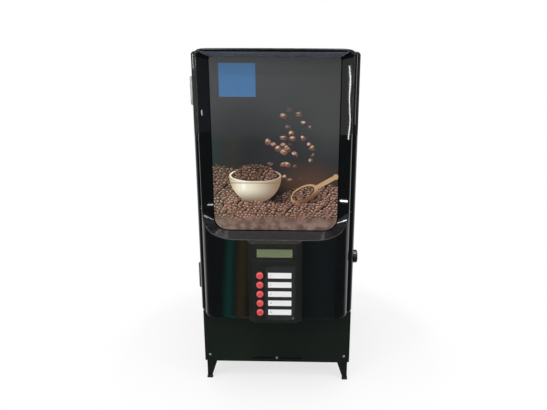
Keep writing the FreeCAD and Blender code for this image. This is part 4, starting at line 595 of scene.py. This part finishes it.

# Finishes of small pieces; each names a slot of the record
DISPLAY_CELL = Finish("display_cell", (0.27, 0.31, 0.165), 0.25, variation=0.1, fine_height=0.02, glow=0.34,
                      slot="display_glass")
SATIN_GREY = Finish("satin_grey", (0.10, 0.105, 0.10), 0.3, specular=0.6, variation=0.1, fine_height=0.1,
                    slot="housing_black")
SATIN_METAL = Finish("satin_metal", (0.66, 0.66, 0.64), 0.38, metallic=1.0, variation=0.1,
                     brushed=(8.0, 700.0, 700.0), fine_height=0.3, slot="zinc_steel")
BRASS = Finish("brass", (0.70, 0.50, 0.22), 0.28, metallic=1.0, variation=0.2, slot="brass_nickel")
# Painted shade: the deeper red in each button's dish.
BUTTON_DISH_SHADE = Finish("button_dish_painted_shade", (0.55, 0.012, 0.014), 0.3, variation=0.1, fine_height=0.05,
                     slot="button_red")
# Painted reflection: the blue-grey bar under the pocket's upper wall stands in for the room's reflection
# there.
BAR_PAINTED_REFLECTION = Finish("bar_painted_reflection", (0.090, 0.098, 0.120), 0.13, specular=0.6, variation=0.4, fine_height=0.0,
                  wave_scale=60.0, wave_height=0.8, slot="gloss_black")
PRINT_GREY = Finish("print_grey", (0.20, 0.20, 0.21), 0.5, variation=0.1, fine_height=0.1, slot="label_card")


# Mesh helpers

def rounded(half_width: float, half_height: float, radius: float, middle: Flat = (0.0, 0.0),
            steps: int = 5) -> list[Flat]:
    """Returns the outline of a rectangle with round corners.

    Args:
        half_width: half of its width.
        half_height: half of its height.
        radius: corner radius.
        middle: its middle.
        steps: edges in each corner.

    Returns:
        The outline's points, anticlockwise.
    """
    points = []
    for turn, (side, rise) in enumerate(((1, 1), (-1, 1), (-1, -1), (1, -1))):
        for step in range(steps + 1):
            angle = math.radians(90.0 * (turn + step / steps))
            points.append((middle[0] + side * (half_width - radius) + radius * math.cos(angle),
                           middle[1] + rise * (half_height - radius) + radius * math.sin(angle)))
    return points


def circle(radius: float, middle: Flat = (0.0, 0.0), steps: int = 28) -> list[Flat]:
    """Returns the points of a circle or, with few steps, of a polygon, anticlockwise."""
    turns = [math.radians(360.0 * i / steps) for i in range(steps)]
    return [(middle[0] + radius * math.cos(a), middle[1] + radius * math.sin(a)) for a in turns]


def turn_to(facing: Point) -> Matrix:
    """Returns the turn that points a piece's own Z axis in a direction."""
    return Vector(facing).to_track_quat("Z", "Y").to_matrix().to_4x4()


def span(node: str) -> tuple[Vector, Vector, Vector]:
    """Returns a node's lowest corner, highest corner and middle at rest."""
    low, high = (Vector(corner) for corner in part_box(node))
    return low, high, (low + high) / 2.0


def settle(piece: bpy.types.Object, finish: Finish, body: str) -> None:
    """Dresses a piece and lets it ride on a body.

    Args:
        piece: the piece.
        finish: its finish.
        body: the body's name.
    """
    finish.dress(piece)
    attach(piece, body)
    log.info("%s rides on %s", piece.name, body)


def figure(name: str, text: str, size: float, centre: Point, body: str) -> None:
    """Adds a thin raised figure that faces the front.

    Args:
        name: the piece's name.
        text: the figure.
        size: its height.
        centre: where its middle goes.
        body: the body it rides on.
    """
    data = bpy.data.curves.new(name, "FONT")
    data.body, data.size, data.extrude, data.resolution_u = text, size, 0.00006, 4
    data.align_x, data.align_y = "CENTER", "CENTER"
    piece = bpy.data.objects.new(name, data)
    bpy.context.scene.collection.objects.link(piece)
    piece.matrix_world = Matrix.Translation(centre) @ turn_to(FRONT)
    settle(piece, PRINT_GREY, body)


class Shape:
    """A piece's mesh in the making. On a face its own axes are X right, Y up and Z out of it."""

    sharp_angle: float = math.radians(38.0)

    def __init__(self, centre: Point = (0.0, 0.0, 0.0), facing: Optional[Point] = None) -> None:
        """Starts an empty mesh.

        Args:
            centre: where the piece's own origin goes.
            facing: the direction of its own Z axis; left out, its axes are the machine's.
        """
        self.mesh = bmesh.new()
        self.place = Matrix.Translation(centre)
        if facing:
            self.place = self.place @ turn_to(facing)

    def skin(self, rings: Sequence[Sequence[Point]], closed: bool = False) -> None:
        """Joins rings of equally many points, and closes the ends unless the last joins the first.

        Args:
            rings: the rings in order.
            closed: whether the last ring joins the first.
        """
        rows = [[self.mesh.verts.new(point) for point in ring] for ring in rings]
        for near, far in zip(rows, rows[1:] + (rows[:1] if closed else [])):
            for i in range(len(near)):
                j = (i + 1) % len(near)
                self.mesh.faces.new((near[i], near[j], far[j], far[i]))
        if not closed:
            self.mesh.faces.new(rows[0][::-1])
            self.mesh.faces.new(rows[-1])

    def plate(self, outline: Sequence[Flat], low: float, high: float) -> None:
        """Adds a flat plate between two heights."""
        self.skin([[(x, y, height) for x, y in outline] for height in (low, high)])

    def border(self, outer: Sequence[Flat], inner: Sequence[Flat], low: float, high: float) -> None:
        """Adds a frame between two outlines of equally many points, from one height to another."""
        levels = ((outer, low), (outer, high), (inner, high), (inner, low))
        self.skin([[(x, y, height) for x, y in outline] for outline, height in levels], True)

    def edging(self, half: Flat, width: float, radii: Flat, heights: Flat, middle: Flat = (0.0, 0.0)) -> None:
        """Adds a frame along the inside of a rectangle with round corners.

        Args:
            half: half of the rectangle's width and height.
            width: the frame's width.
            radii: corner radius outside and inside.
            heights: where the frame starts and ends.
            middle: the rectangle's middle.
        """
        outer, inner = (rounded(half[0] - less, half[1] - less, radius, middle)
                        for less, radius in zip((0.0, width), radii))
        self.border(outer, inner, *heights)

    def lathe(self, profile: Sequence[Flat], middle: Flat = (0.0, 0.0), steps: int = 28,
              closed: bool = False) -> None:
        """Adds a turned form; its profile gives the radius and height of each ring."""
        self.skin([[(x, y, height) for x, y in circle(radius, middle, steps)] for radius, height in profile],
                  closed)

    def wire(self, points: Sequence[Point], radius: float, closed: bool = False, steps: int = 10) -> None:
        """Adds a round wire or tube.

        Args:
            points: its middle line.
            radius: its radius.
            closed: whether it ends where it starts.
            steps: edges round it.
        """
        path = [Vector(point) for point in points]
        count = len(path)
        side = Vector((0.0, 0.0, 1.0))
        rings = []
        for i, point in enumerate(path):
            ahead = path[(i + 1) % count] if closed or i < count - 1 else point
            back = path[i - 1] if closed or i else point
            along = (ahead - back).normalized()
            lean = side.dot(along)
            side = (side - along * lean).normalized() if abs(lean) < 0.99 else along.orthogonal()
            other = along.cross(side)
            rings.append([tuple(point + (side * x + other * y)) for x, y in circle(radius, steps=steps)])
        self.skin(rings, closed)

    def screw(self, radius: float, middle: Flat = (0.0, 0.0), base: float = 0.0) -> None:
        """Adds a pan head with a cross recess.

        Args:
            radius: the head's radius.
            middle: where it sits.
            base: height of the face under it.
        """
        slot, reach = 0.14 * radius, 0.52 * radius
        cross = []
        for turn in range(4):
            angle = math.radians(90.0 * turn)
            for x, y in ((reach, -slot), (reach, slot), (slot, slot)):
                cross.append((middle[0] + x * math.cos(angle) - y * math.sin(angle),
                              middle[1] + x * math.sin(angle) + y * math.cos(angle)))
        angles = [math.atan2(y - middle[1], x - middle[0]) for x, y in cross]
        head = [[(middle[0] + share * radius * math.cos(a), middle[1] + share * radius * math.sin(a),
                  base + rise * radius) for a in angles]
                for share, rise in ((1.0, 0.0), (1.0, 0.2), (0.93, 0.42), (0.72, 0.58))]
        self.skin(head + [[(x, y, base + rise * radius) for x, y in cross] for rise in (0.62, 0.25)])

    def made(self, name: str, finish: Finish, body: str, bevel: float = 0.0002) -> None:
        """Makes the piece, dresses it and lets it ride.

        Args:
            name: the piece's name.
            finish: its finish.
            body: the body it rides on.
            bevel: width of its rounded edges.
        """
        bmesh.ops.recalc_face_normals(self.mesh, faces=self.mesh.faces)
        self.mesh.transform(self.place)
        data = bpy.data.meshes.new(name)
        self.mesh.to_mesh(data)
        self.mesh.free()
        data.shade_smooth()
        data.set_sharp_from_angle(angle=self.sharp_angle)
        piece = bpy.data.objects.new(name, data)
        bpy.context.scene.collection.objects.link(piece)
        if bevel:
            soft = piece.modifiers.new("soft_edges", "BEVEL")
            soft.width, soft.segments = bevel, 2
            soft.limit_method, soft.angle_limit = "ANGLE", self.sharp_angle
        settle(piece, finish, body)


# Pieces of the door

@dataclass
class ControlTrim:
    """Small parts of the control housing: display cells and frames, button dishes, label figures."""

    body: str = "door"
    buttons: range = range(1, 6)
    columns: int = 16
    rows: int = 2
    cell: Flat = (0.00295, 0.00556)
    pitch: Flat = (0.00355, 0.00594)
    opening_half: Flat = (0.0321, 0.0081)
    opening_edge: float = 0.0006
    window_half: Flat = (0.0370, 0.0130)
    window_frame: float = 0.0042
    dish_radius: float = 0.0031
    collar_width: float = 0.0011
    figure_size: float = 0.0056
    figure_inset: float = 0.0048
    label_edge: float = 0.0009
    screw_radius: float = 0.0017
    screw_inset: float = 0.0034

    def display(self) -> None:
        """Adds the character cells, the edge of the display's opening and the printed frame of its window."""
        module_front = span("display_module")[0].y
        low, high, window = span("display_window")
        cells = Shape((window.x, module_front, window.z), FRONT)
        for row, column in product(range(self.rows), range(self.columns)):
            across, up = column - (self.columns - 1) / 2.0, row - (self.rows - 1) / 2.0
            spot = (across * self.pitch[0], up * self.pitch[1])
            cells.plate(rounded(self.cell[0] / 2.0, self.cell[1] / 2.0, 0.0001, spot, 1), 0.0, 0.00004)
        cells.made("display_cells", DISPLAY_CELL, self.body, 0.0)
        edge = Shape((window.x, high.y, window.z), FRONT)
        edge.edging(self.opening_half, self.opening_edge, (0.0008, 0.0006), (-0.0009, 0.0))
        edge.made("display_edge", SATIN_GREY, self.body, 0.0001)
        rim = Shape((window.x, low.y, window.z), FRONT)
        rim.edging(self.window_half, self.window_frame, (0.0012, 0.0010), (-0.0001, 0.0003))
        rim.made("display_window_rim", HOUSING_BLACK, self.body, 0.0001)

    def dishes(self) -> None:
        """Adds each button's dish, whose deeper red is painted shade, and the collar round its hole."""
        collars = Shape((0.0, span("control_housing")[0].y, 0.0), FRONT)
        for button in (f"button_{number}" for number in self.buttons):
            low, high, middle = span(button)
            dish = Shape((middle.x, low.y, middle.z), FRONT)
            dish.lathe([(self.dish_radius * share, height) for share, height in (
                (1.0, -0.0008), (1.0, -0.00012), (0.86, -0.00006), (0.5, -0.00022), (0.0645, -0.00028))])
            dish.made(f"{button}_dish", BUTTON_DISH_SHADE, button, 0.0)
            radius, wide = (high.x - low.x) / 2.0, self.collar_width
            collars.lathe([(radius + wide, -0.0001), (radius + wide, 0.0003), (radius + 0.3 * wide, 0.0006),
                           (radius - 0.0004, 0.0005), (radius - 0.0004, -0.0001)],
                          (middle.x, middle.z), 32, True)
        collars.made("button_collars", HOUSING_BLACK, self.body, 0.0)

    def labels(self) -> None:
        """Adds the figures on the labels, the label frame and its screw."""
        low = span("labels")[0]
        for number in self.buttons:
            centre = (low.x + self.figure_inset, low.y - 0.00003, span(f"button_{number}")[2].z)
            figure(f"label_figure_{number}", str(number), self.figure_size, centre, self.body)
        low, high, middle = span("label_plate")
        rim = Shape((middle.x, low.y, middle.z), FRONT)
        half = ((high.x - low.x) / 2.0, (high.z - low.z) / 2.0)
        rim.edging(half, self.label_edge, (0.0009, 0.0004), (-0.0002, 0.0003))
        rim.made("label_frame", HOUSING_BLACK, self.body, 0.0001)
        fastening = Shape((high.x - self.screw_inset, low.y, low.z + self.screw_inset), FRONT)
        fastening.screw(self.screw_radius)
        fastening.made("label_screw", ZINC, self.body, 0.00005)

    def build(self) -> None:
        """Adds all of the trim."""
        self.display()
        self.dishes()
        self.labels()


@dataclass
class PictureReflectionBar:
    """Bar under the pocket's upper wall, at the top of the picture; its blue-grey colour is a painted
    reflection of the room in the gloss black.
    """

    body: str = "door"
    slope: float = 0.25
    lift: float = 0.0009
    thick: float = 0.0016
    depth: float = 0.0185
    back_half: float = 0.1100
    front_half: float = 0.1215
    sections: int = 24

    def build(self) -> None:
        """Adds the bar, whose colour is the painted reflection."""
        low, high, middle = span("picture_panel")
        edge, deep = [], self.depth
        for reach, drop in ((0.0, 0.0), (deep, 0.0), (deep + 0.0007, 0.4), (deep + 0.0004, 0.85),
                            (deep - 0.0008, 1.0), (0.5 * deep, 1.1), (0.0, 1.0)):
            top = high.z + self.lift + self.slope * reach
            half = self.back_half + (self.front_half - self.back_half) * reach / deep
            edge.append((half, low.y - 0.0001 - reach, top - drop * self.thick))
        sides = [2.0 * step / self.sections - 1.0 for step in range(self.sections + 1)]
        bar = Shape()
        bar.skin([[(middle.x + side * half, y, z) for half, y, z in edge] for side in sides])
        # the bar's colour is a painted reflection
        bar.made("picture_bar_painted_reflection", BAR_PAINTED_REFLECTION, self.body, 0.0)


@dataclass
class DoorSeal:
    """Soft gasket that the cabinet's front flange carries, left out where the lock keeper passes."""

    body: str = "cabinet"
    radius: float = 0.00085
    inset: float = 0.0065
    corner: float = 0.010
    foot: float = 0.006
    flange: float = 0.0275
    keeper_gap: float = 0.004

    def build(self) -> None:
        """Adds the gasket's two runs."""
        high = span("cabinet_wrap")[1]
        keeper_low, keeper_high, _ = span("lock_keeper")
        side, top, bottom = high.x - self.inset, high.z - self.inset, span("door_shell")[0].z + self.foot
        front = span("deck_plate")[0].y + self.flange - self.radius
        path = [(-side, bottom), (-side, top - self.corner)]
        for turn, corner_x in ((0, -side + self.corner), (1, side - self.corner)):
            for step in range(1, 6):
                angle = math.radians(180.0 - 90.0 * turn - 18.0 * step)
                path.append((corner_x + self.corner * math.cos(angle),
                             top - self.corner + self.corner * math.sin(angle)))
        path.append((side, keeper_high.z + self.keeper_gap))
        below = [(side, keeper_low.z - self.keeper_gap), (side, bottom + 0.02), (side, bottom)]
        seal = Shape()
        for run in (path, below):
            seal.wire([(x, front, z) for x, z in run], self.radius)
        seal.made("door_seal", RUBBER, self.body, 0.0)


@dataclass
class DoorBack:
    """Parts on the back of the door: board components, screws and the display's connector."""

    body: str = "door"
    pins: int = 16
    pin_pitch: float = 0.00254
    pin_inset: float = 0.0035
    resistors: int = 8
    resistor_pitch: float = 0.0052
    screw_radius: float = 0.0026
    screw_inset: float = 0.004

    def display(self) -> None:
        """Adds the display's controllers and its connector's pins."""
        _, high, middle = span("display_module")
        parts = Shape((0.0, high.y, 0.0), REAR)
        for x in (-0.018, 0.010):
            parts.lathe([(0.0062, -0.0001), (0.0060, 0.0006), (0.0042, 0.0012), (0.0010, 0.0014)],
                        (-(middle.x + x), middle.z), 20)
        for pin in range(self.pins):
            x = middle.x + self.pin_pitch * (pin - self.pins / 2.0 + 0.5)
            parts.plate(circle(0.0005, (-x, high.z - self.pin_inset), 6), -0.0001, 0.0022)
        parts.made("display_back_parts", FITTING, self.body, 0.0)

    def switches(self) -> None:
        """Adds the switch board's connector, chip, resistors and screws."""
        low, high, middle = span("switch_board")
        parts = Shape((0.0, high.y, 0.0), REAR)
        for half, radius, rise, height in (((0.009, 0.0052), 0.0004, 0.024, 0.0034),
                                           ((0.0075, 0.0035), 0.0003, 0.003, 0.0018)):
            spot = (-(middle.x + 0.012), middle.z + rise)
            parts.plate(rounded(*half, radius, spot, 1), -0.0001, height)
        for i in range(self.resistors):
            spot = (-(middle.x - 0.022), middle.z - 0.036 + i * self.resistor_pitch)
            parts.plate(rounded(0.0006, 0.0011, 0.0001, spot, 1), -0.0001, 0.0009)
        parts.made("switch_board_parts", FITTING, self.body, 0.0001)
        heads = Shape((0.0, high.y, 0.0), REAR)
        for x, z in product((low.x + self.screw_inset, high.x - self.screw_inset),
                            (low.z + self.screw_inset, high.z - self.screw_inset)):
            heads.screw(self.screw_radius, (-x, z))
        heads.made("switch_board_screws", ZINC, self.body, 0.00005)

    def build(self) -> None:
        """Adds the parts of both boards."""
        self.display()
        self.switches()


# Pieces at the rear

@dataclass
class RearTrim:
    """Fan guard, louvre hoods, bare plate, earth stud and the metal pins of the inlet."""

    body: str = "cabinet"
    guard_rings: int = 5
    guard_radius: float = 0.0375
    guard_pitch: float = 0.0072
    guard_lift: float = 0.0036
    wire_radius: float = 0.0009
    eye_radius: float = 0.0030
    fan_screw_pitch: float = 0.03575
    fan_screw_radius: float = 0.0036
    louvre_columns: int = 3
    louvre_rows: int = 9
    louvre_pitch: Flat = (0.062, 0.010)
    louvre_low: float = 0.250
    louvre_size: Flat = (0.046, 0.004)
    hood_rise: float = 0.0028
    hood_steps: int = 8
    plate_middle: Flat = (-0.072, 0.165)
    plate_half: Flat = (0.030, 0.018)
    rivet_half: Flat = (0.027, 0.015)
    stud_middle: Flat = (-0.018, 0.100)
    pin_spots: tuple[Flat, ...] = ((0.007, -0.0015), (-0.007, -0.0015), (0.0, 0.0025))

    def on_panel(self, x: float = 0.0, z: float = 0.0) -> Shape:
        """Starts a shape on the outside of the rear panel."""
        return Shape((x, span("rear_panel")[1].y, z), REAR)

    def fan_guard(self) -> None:
        """Adds the wire guard and the four screws that hold it."""
        fan = span("fan_frame")[2]
        guard, wire = self.on_panel(fan.x, fan.z), self.wire_radius
        for ring in range(self.guard_rings):
            hoop = circle(self.guard_radius - ring * self.guard_pitch, steps=40)
            guard.wire([(x, y, self.guard_lift) for x, y in hoop], wire, True, 8)
        far, under = self.fan_screw_pitch * math.sqrt(2.0), self.guard_lift - 2.0 * wire
        for turn in range(4):
            angle = math.radians(45.0 + 90.0 * turn)
            cos, sin = math.cos(angle), math.sin(angle)
            eye = circle(self.eye_radius, (far * cos, far * sin), 20)
            guard.wire([(x, y, wire) for x, y in eye], wire, True, 8)
            spoke = ((0.0080, under), (0.0385, under), (0.0425, 0.0013), (far - self.eye_radius, wire))
            guard.wire([(reach * cos, reach * sin, height) for reach, height in spoke], wire, False, 8)
        guard.made("fan_guard", ZINC, self.body, 0.0)
        heads = self.on_panel(fan.x, fan.z)
        for spot in product((-self.fan_screw_pitch, self.fan_screw_pitch), repeat=2):
            heads.screw(self.fan_screw_radius, spot, 2.0 * wire)
        heads.made("fan_screws", ZINC, self.body, 0.00005)

    def hood(self, middle: float, low: float) -> list[list[Point]]:
        """Returns the rings of one pressed hood.

        Args:
            middle: the slot's middle.
            low: the slot's lower edge.

        Returns:
            The rings, from one end to the other.
        """
        wide, slot = self.louvre_size
        rings = []
        for step in range(self.hood_steps + 1):
            part = step / self.hood_steps
            bulge = math.sin(math.pi * part) ** 0.45 if 0.0 < part < 1.0 else 0.0
            x = middle + (part - 0.5) * (wide + 0.004)
            out = 0.0004 + self.hood_rise * bulge
            foot, waist, head = low - 0.0006, low + 0.6 * slot, low + slot + 0.0018
            rings.append([(x, foot, out), (x, waist, 0.8 * out + 0.0001), (x, head, 0.0003),
                          (x, head, -0.00005), (x, waist, 0.8 * out - 0.0006 * bulge - 0.0002),
                          (x, foot, out - 0.0007 * bulge - 0.0003)])
        return rings

    def louvres(self) -> None:
        """Adds a hood over every vent slot."""
        hoods = self.on_panel()
        for column, row in product(range(self.louvre_columns), range(self.louvre_rows)):
            middle = (column - (self.louvre_columns - 1) / 2.0) * self.louvre_pitch[0]
            hoods.skin(self.hood(middle, self.louvre_low + row * self.louvre_pitch[1]))
        hoods.made("louvre_hoods", BLACK_COAT, self.body, 0.0)

    def fittings(self) -> None:
        """Adds the bare plate with its rivets, the earth stud and the inlet's pins."""
        plate = self.on_panel(*self.plate_middle)
        plate.plate(rounded(*self.plate_half, 0.002), -0.00005, 0.0005)
        for x, y in product(*((-half, half) for half in self.rivet_half)):
            plate.lathe([(0.0015, 0.0004), (0.0014, 0.0009), (0.0006, 0.0012)], (x, y), 14)
        plate.made("bare_plate", SATIN_METAL, self.body, 0.0001)
        stud = self.on_panel(*self.stud_middle)
        stud.plate(circle(0.0052, steps=24), -0.00005, 0.0008)
        stud.plate(circle(0.0046, steps=6), 0.0008, 0.0038)
        stud.lathe([(0.0023, 0.0038), (0.0023, 0.0088), (0.0017, 0.0095)], steps=18)
        stud.made("earth_stud", BRASS, self.body, 0.00015)
        inlet = span("mains_socket")[2]
        pins = self.on_panel(inlet.x, inlet.z)
        for spot in self.pin_spots:
            pins.plate(rounded(0.00115, 0.00215, 0.0003, spot, 2), -0.0185, -0.0049)
        pins.made("inlet_pins", NICKEL, self.body, 0.0002)

    def build(self) -> None:
        """Adds all of the rear."""
        self.fan_guard()
        self.louvres()
        self.fittings()


# Pieces behind the door

@dataclass
class PowderTrim:
    """Canister fronts: a raised edging round a figure, and a rib at each side."""

    body: str = "cabinet"
    canisters: tuple[float, ...] = (-0.092, 0.0, 0.092)
    front_inset: float = 0.008
    figure_height: float = 0.517
    figure_size: float = 0.014
    edging_half: Flat = (0.030, 0.011)
    edging_width: float = 0.0015
    rib_side: float = 0.0355
    rib_height: float = 0.475
    rib_half: Flat = (0.0008, 0.027)

    def build(self) -> None:
        """Adds the trim of all three canisters."""
        face = span("canisters")[0].y + self.front_inset
        for number, x in enumerate(self.canisters, 1):
            front = Shape((x, face, 0.0), FRONT)
            front.edging(self.edging_half, self.edging_width, (0.002, 0.001), (-0.0001, 0.0012),
                         (0.0, self.figure_height))
            for side in (-self.rib_side, self.rib_side):
                front.plate(rounded(*self.rib_half, 0.0007, (side, self.rib_height), 3), -0.0001, 0.0011)
            front.made(f"canister_front_{number}", CANISTER, self.body, 0.0002)
            figure(f"canister_figure_{number}", str(number), self.figure_size,
                   (x, face - 0.00003, self.figure_height), self.body)


@dataclass
class MixingTrim:
    """Hose clamps and bulkhead screws in the mixing room."""

    body: str = "cabinet"
    bowls: tuple[float, ...] = (-0.092, 0.0, 0.092)
    screw_inset: float = 0.006
    screw_heights: tuple[float, ...] = (0.175, 0.262, 0.350)
    screw_radius: float = 0.0034
    hose_y: float = -0.0935
    hose_radius: float = 0.0047
    clamp_drop: float = 0.004
    clamp_half: float = 0.003

    def clamp(self, shape: Shape, x: float, z: float) -> None:
        """Adds a spring clamp with two ears round a hose that hangs down.

        Args:
            shape: the shape that gets it.
            x: the hose's X.
            z: the clamp's height.
        """
        band, inner = (circle(self.hose_radius + gap, (x, self.hose_y), 24) for gap in (0.0004, -0.0002))
        shape.border(band, inner, z - self.clamp_half, z + self.clamp_half)
        for side in (-0.0016, 0.0016):
            ear = rounded(0.0006, 0.0022, 0.0003, (x + side, self.hose_y - self.hose_radius - 0.0022), 2)
            shape.plate(ear, z - 0.002, z + 0.002)

    def build(self) -> None:
        """Adds the screws and the clamps."""
        low, high, _ = span("bulkhead")
        heads = Shape((0.0, low.y, 0.0), FRONT)
        for spot in product((low.x + self.screw_inset, high.x - self.screw_inset), self.screw_heights):
            heads.screw(self.screw_radius, spot)
        heads.made("bulkhead_screws", ZINC, self.body, 0.00005)
        clamps = Shape()
        for x in self.bowls:
            self.clamp(clamps, x, span("mixing_bowls")[0].z - self.clamp_drop)
        clamps.made("hose_clamps", ZINC, self.body, 0.0)


# Camera, floor and light

@dataclass(frozen=True)
class Lamp:
    """A soft rectangular lamp."""

    name: str
    place: Point
    size: Flat
    watts: float
    target: Point = (0.0, 0.0, 0.33)

    def hang(self) -> None:
        """Hangs the lamp so that it faces its target; the camera doesn't see it."""
        data = bpy.data.lights.new(self.name, "AREA")
        data.shape = "RECTANGLE"
        data.size, data.size_y = self.size
        data.energy = self.watts
        lamp = bpy.data.objects.new(self.name, data)
        bpy.context.scene.collection.objects.link(lamp)
        lamp.visible_camera = False
        away = Vector(self.target) - Vector(self.place)
        turn = away.to_track_quat("-Z", "Y").to_matrix().to_4x4()
        lamp.matrix_world = Matrix.Translation(self.place) @ turn


@dataclass
class Studio:
    """The camera, the pale floor, the room's light and the lamps; a spark makes one highlight."""

    image_width: float = 547.0
    focal_pixels: float = 400.0
    sensor: float = 36.0
    camera_place: Point = (0.0498, -0.8734, 0.5179)
    pitch_down: float = 12.0
    roll: float = 0.38
    turn: float = 0.82
    middle_right: float = 24.0
    floor_reach: float = 12.0
    floor_glow: float = 0.72
    room_tone: Colour = (0.060, 0.075, 0.070)
    room_bands: tuple[tuple[float, float, Colour], ...] = (
        (-0.220, 0.029, (0.06, 0.70, 0.50)), (-0.180, 0.030, (0.62, 0.46, 0.20)),
        (0.08, 0.09, (0.16, 0.20, 0.22)))
    fan_back: float = 0.49
    lamps: tuple[Lamp, ...] = (
        Lamp("ceiling_lamp", (0.0, -0.2, 2.4), (2.2, 1.8), 34.0),
        Lamp("left_lamp", (-1.3, -1.5, 1.6), (0.30, 0.50), 7.0),
        Lamp("right_window", (1.15, -0.75, 0.85), (0.12, 0.75), 2.6),
        Lamp("left_strip", (-1.115, -1.015, 0.60), (0.004, 0.38), 0.20),
        Lamp("tube_lamp", (0.0, -1.2, 2.3), (1.6, 0.08), 10.0),
        Lamp("low_left_spark", (-1.10, -0.99, 0.08), (0.034, 0.008), 0.05, (0.123, -0.170, 0.375)),
        Lamp("left_spark", (-1.30, -0.37, 0.78), (0.09, 0.09), 1.2, (0.123, -0.174, 0.340)),
        Lamp("low_right_spark", (0.985, -1.135, 0.06), (0.046, 0.004), 0.018, (-0.117, -0.167, 0.368)),
        Lamp("right_spark", (0.98, -1.18, 0.55), (0.004, 0.030), 0.010, (-0.128, -0.173, 0.529)))

    def camera(self) -> None:
        """Places the camera where the photograph was taken."""
        data = bpy.data.cameras.new("view")
        data.sensor_width = self.sensor
        data.lens = self.focal_pixels / self.image_width * self.sensor
        data.shift_x = -self.middle_right / self.image_width
        data.clip_start = 0.01
        eye = bpy.data.objects.new("view", data)
        bpy.context.scene.collection.objects.link(eye)
        aim = Matrix.Translation(self.camera_place)
        for angle, axis in ((self.turn, "Z"), (90.0 - self.pitch_down, "X"), (self.roll, "Z")):
            aim = aim @ Matrix.Rotation(math.radians(angle), 4, axis)
        eye.matrix_world = aim
        bpy.context.scene.camera = eye

    def mirrored_room(self, n: Nodes, spot: bpy.types.bpy_prop_collection, glossy: Socket) -> Socket:
        """Returns the floor's glow: white, but in mirrors a dim room with coloured bands in front.

        Args:
            n: the floor's nodes.
            spot: the floor's coordinates.
            glossy: whether a mirror sees it.

        Returns:
            The glow's colour.
        """
        room = self.room_tone
        fan = n.over(n.minus(spot[0], self.camera_place[0]), n.minus(self.fan_back, spot[1]))
        for middle, reach, tint in self.room_bands:
            aside = n.math("ABSOLUTE", n.minus(fan, middle))
            room = n.mix(n.ramp(aside, reach, 0.0), room, tint)
        return n.mix(n.most(n.ramp(spot[1], -0.21, 0.12), n.minus(1.0, glossy)), room, WHITE)

    def floor(self) -> None:
        """Makes the pale floor, which fades into the white round the machine."""
        mesh = bpy.data.meshes.new("floor")
        far = self.floor_reach
        mesh.from_pydata([(-far, -far, 0), (far, -far, 0), (far, far, 0), (-far, far, 0)], [], [(0, 1, 2, 3)])
        floor = bpy.data.objects.new("floor", mesh)
        bpy.context.scene.collection.objects.link(floor)
        pale = bpy.data.materials.new("pale_floor")
        pale.use_nodes = True
        pale.node_tree.nodes.clear()
        n = Nodes(pale.node_tree)
        where = n.place()
        cloudy = n.ramp(n.noise(where, 3.0, 3.0), 0.2, 0.8)
        matte = n.add("ShaderNodeBsdfPrincipled", {
            "Base Color": n.mix(cloudy, (0.88, 0.88, 0.88), (0.91, 0.91, 0.91)), "Roughness": 0.8})
        reach = n.add("ShaderNodeVectorMath", {0: where}, operation="LENGTH").outputs["Value"]
        ray = n.add("ShaderNodeLightPath").outputs
        glossy = ray["Is Glossy Ray"]
        seen = n.most(ray["Is Camera Ray"], glossy, ray["Is Transmission Ray"])
        lit = n.times(n.most(n.ramp(reach, 0.15, 0.45), self.floor_glow), seen)
        colour = self.mirrored_room(n, n.split(where), glossy)
        glow = n.add("ShaderNodeEmission", {"Color": colour, "Strength": 1.0})
        shaders = {0: n.most(lit, glossy), 1: matte.outputs[0], 2: glow.outputs[0]}
        blend = n.add("ShaderNodeMixShader", shaders)
        n.add("ShaderNodeOutputMaterial", {0: blend.outputs[0]})
        mesh.materials.append(pale)

    def surroundings(self) -> None:
        """Makes the world: white behind the machine, dimmer in front of it."""
        world = bpy.data.worlds.new("room")
        bpy.context.scene.world = world
        world.use_nodes = True
        world.node_tree.nodes.clear()
        n = Nodes(world.node_tree)
        ray = n.add("ShaderNodeLightPath").outputs
        x, y, z = n.split(n.add("ShaderNodeTexCoord").outputs["Generated"])
        ahead = n.times(n.minus(1.0, n.ramp(x, -0.75, 0.45, 0.9, 0.28)), n.ramp(y, 0.35, -0.1))
        level = n.minus(1.0, n.ramp(z, 0.12, 0.45, 0.0, 0.6))
        around = n.times(n.minus(1.0, n.times(ahead, level)), n.ramp(y, 0.0, 0.4, 1.0, 0.2))
        shiny = n.most(ray["Is Glossy Ray"], ray["Is Transmission Ray"])
        strength = n.most(n.times(shiny, around), ray["Is Camera Ray"], n.times(ray["Is Diffuse Ray"], 0.45))
        cool = n.times(n.ramp(x, -0.2, 0.5), n.ramp(y, 0.1, -0.3), shiny)
        tint = n.mix(cool, WHITE, (0.78, 0.86, 1.0))
        shade = n.add("ShaderNodeBackground", {"Color": tint, "Strength": strength})
        n.add("ShaderNodeOutputWorld", {0: shade.outputs[0]})

    def build(self) -> None:
        """Builds all of the studio."""
        self.camera()
        self.floor()
        self.surroundings()
        for lamp in self.lamps:
            lamp.hang()
        bpy.context.scene.view_settings.view_transform = "Standard"


@dataclass
class CarriedNodes:
    """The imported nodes, which keep their own shape and get their finish."""

    def dress(self) -> None:
        """Gives each node the finish that the record names."""
        slots = {part["node"]: part["material_slot"] for part in frame["record"]["subparts"]}
        for name, node in frame["nodes"].items():
            FINISH_OF_SLOT[slots[name]].dress(node)
            even = node.modifiers.new("even_normals", "WEIGHTED_NORMAL")
            even.keep_sharp = True
            log.info("%s: %s", name, slots[name])


def main() -> None:
    """Builds the studio and every piece in order."""
    logging.basicConfig(level=logging.INFO, format="%(message)s")
    Studio().build()
    CarriedNodes().dress()
    for assembly in (ControlTrim, PictureReflectionBar, DoorSeal, DoorBack, RearTrim, PowderTrim, MixingTrim):
        assembly().build()


if __name__ == "__main__":
    main()
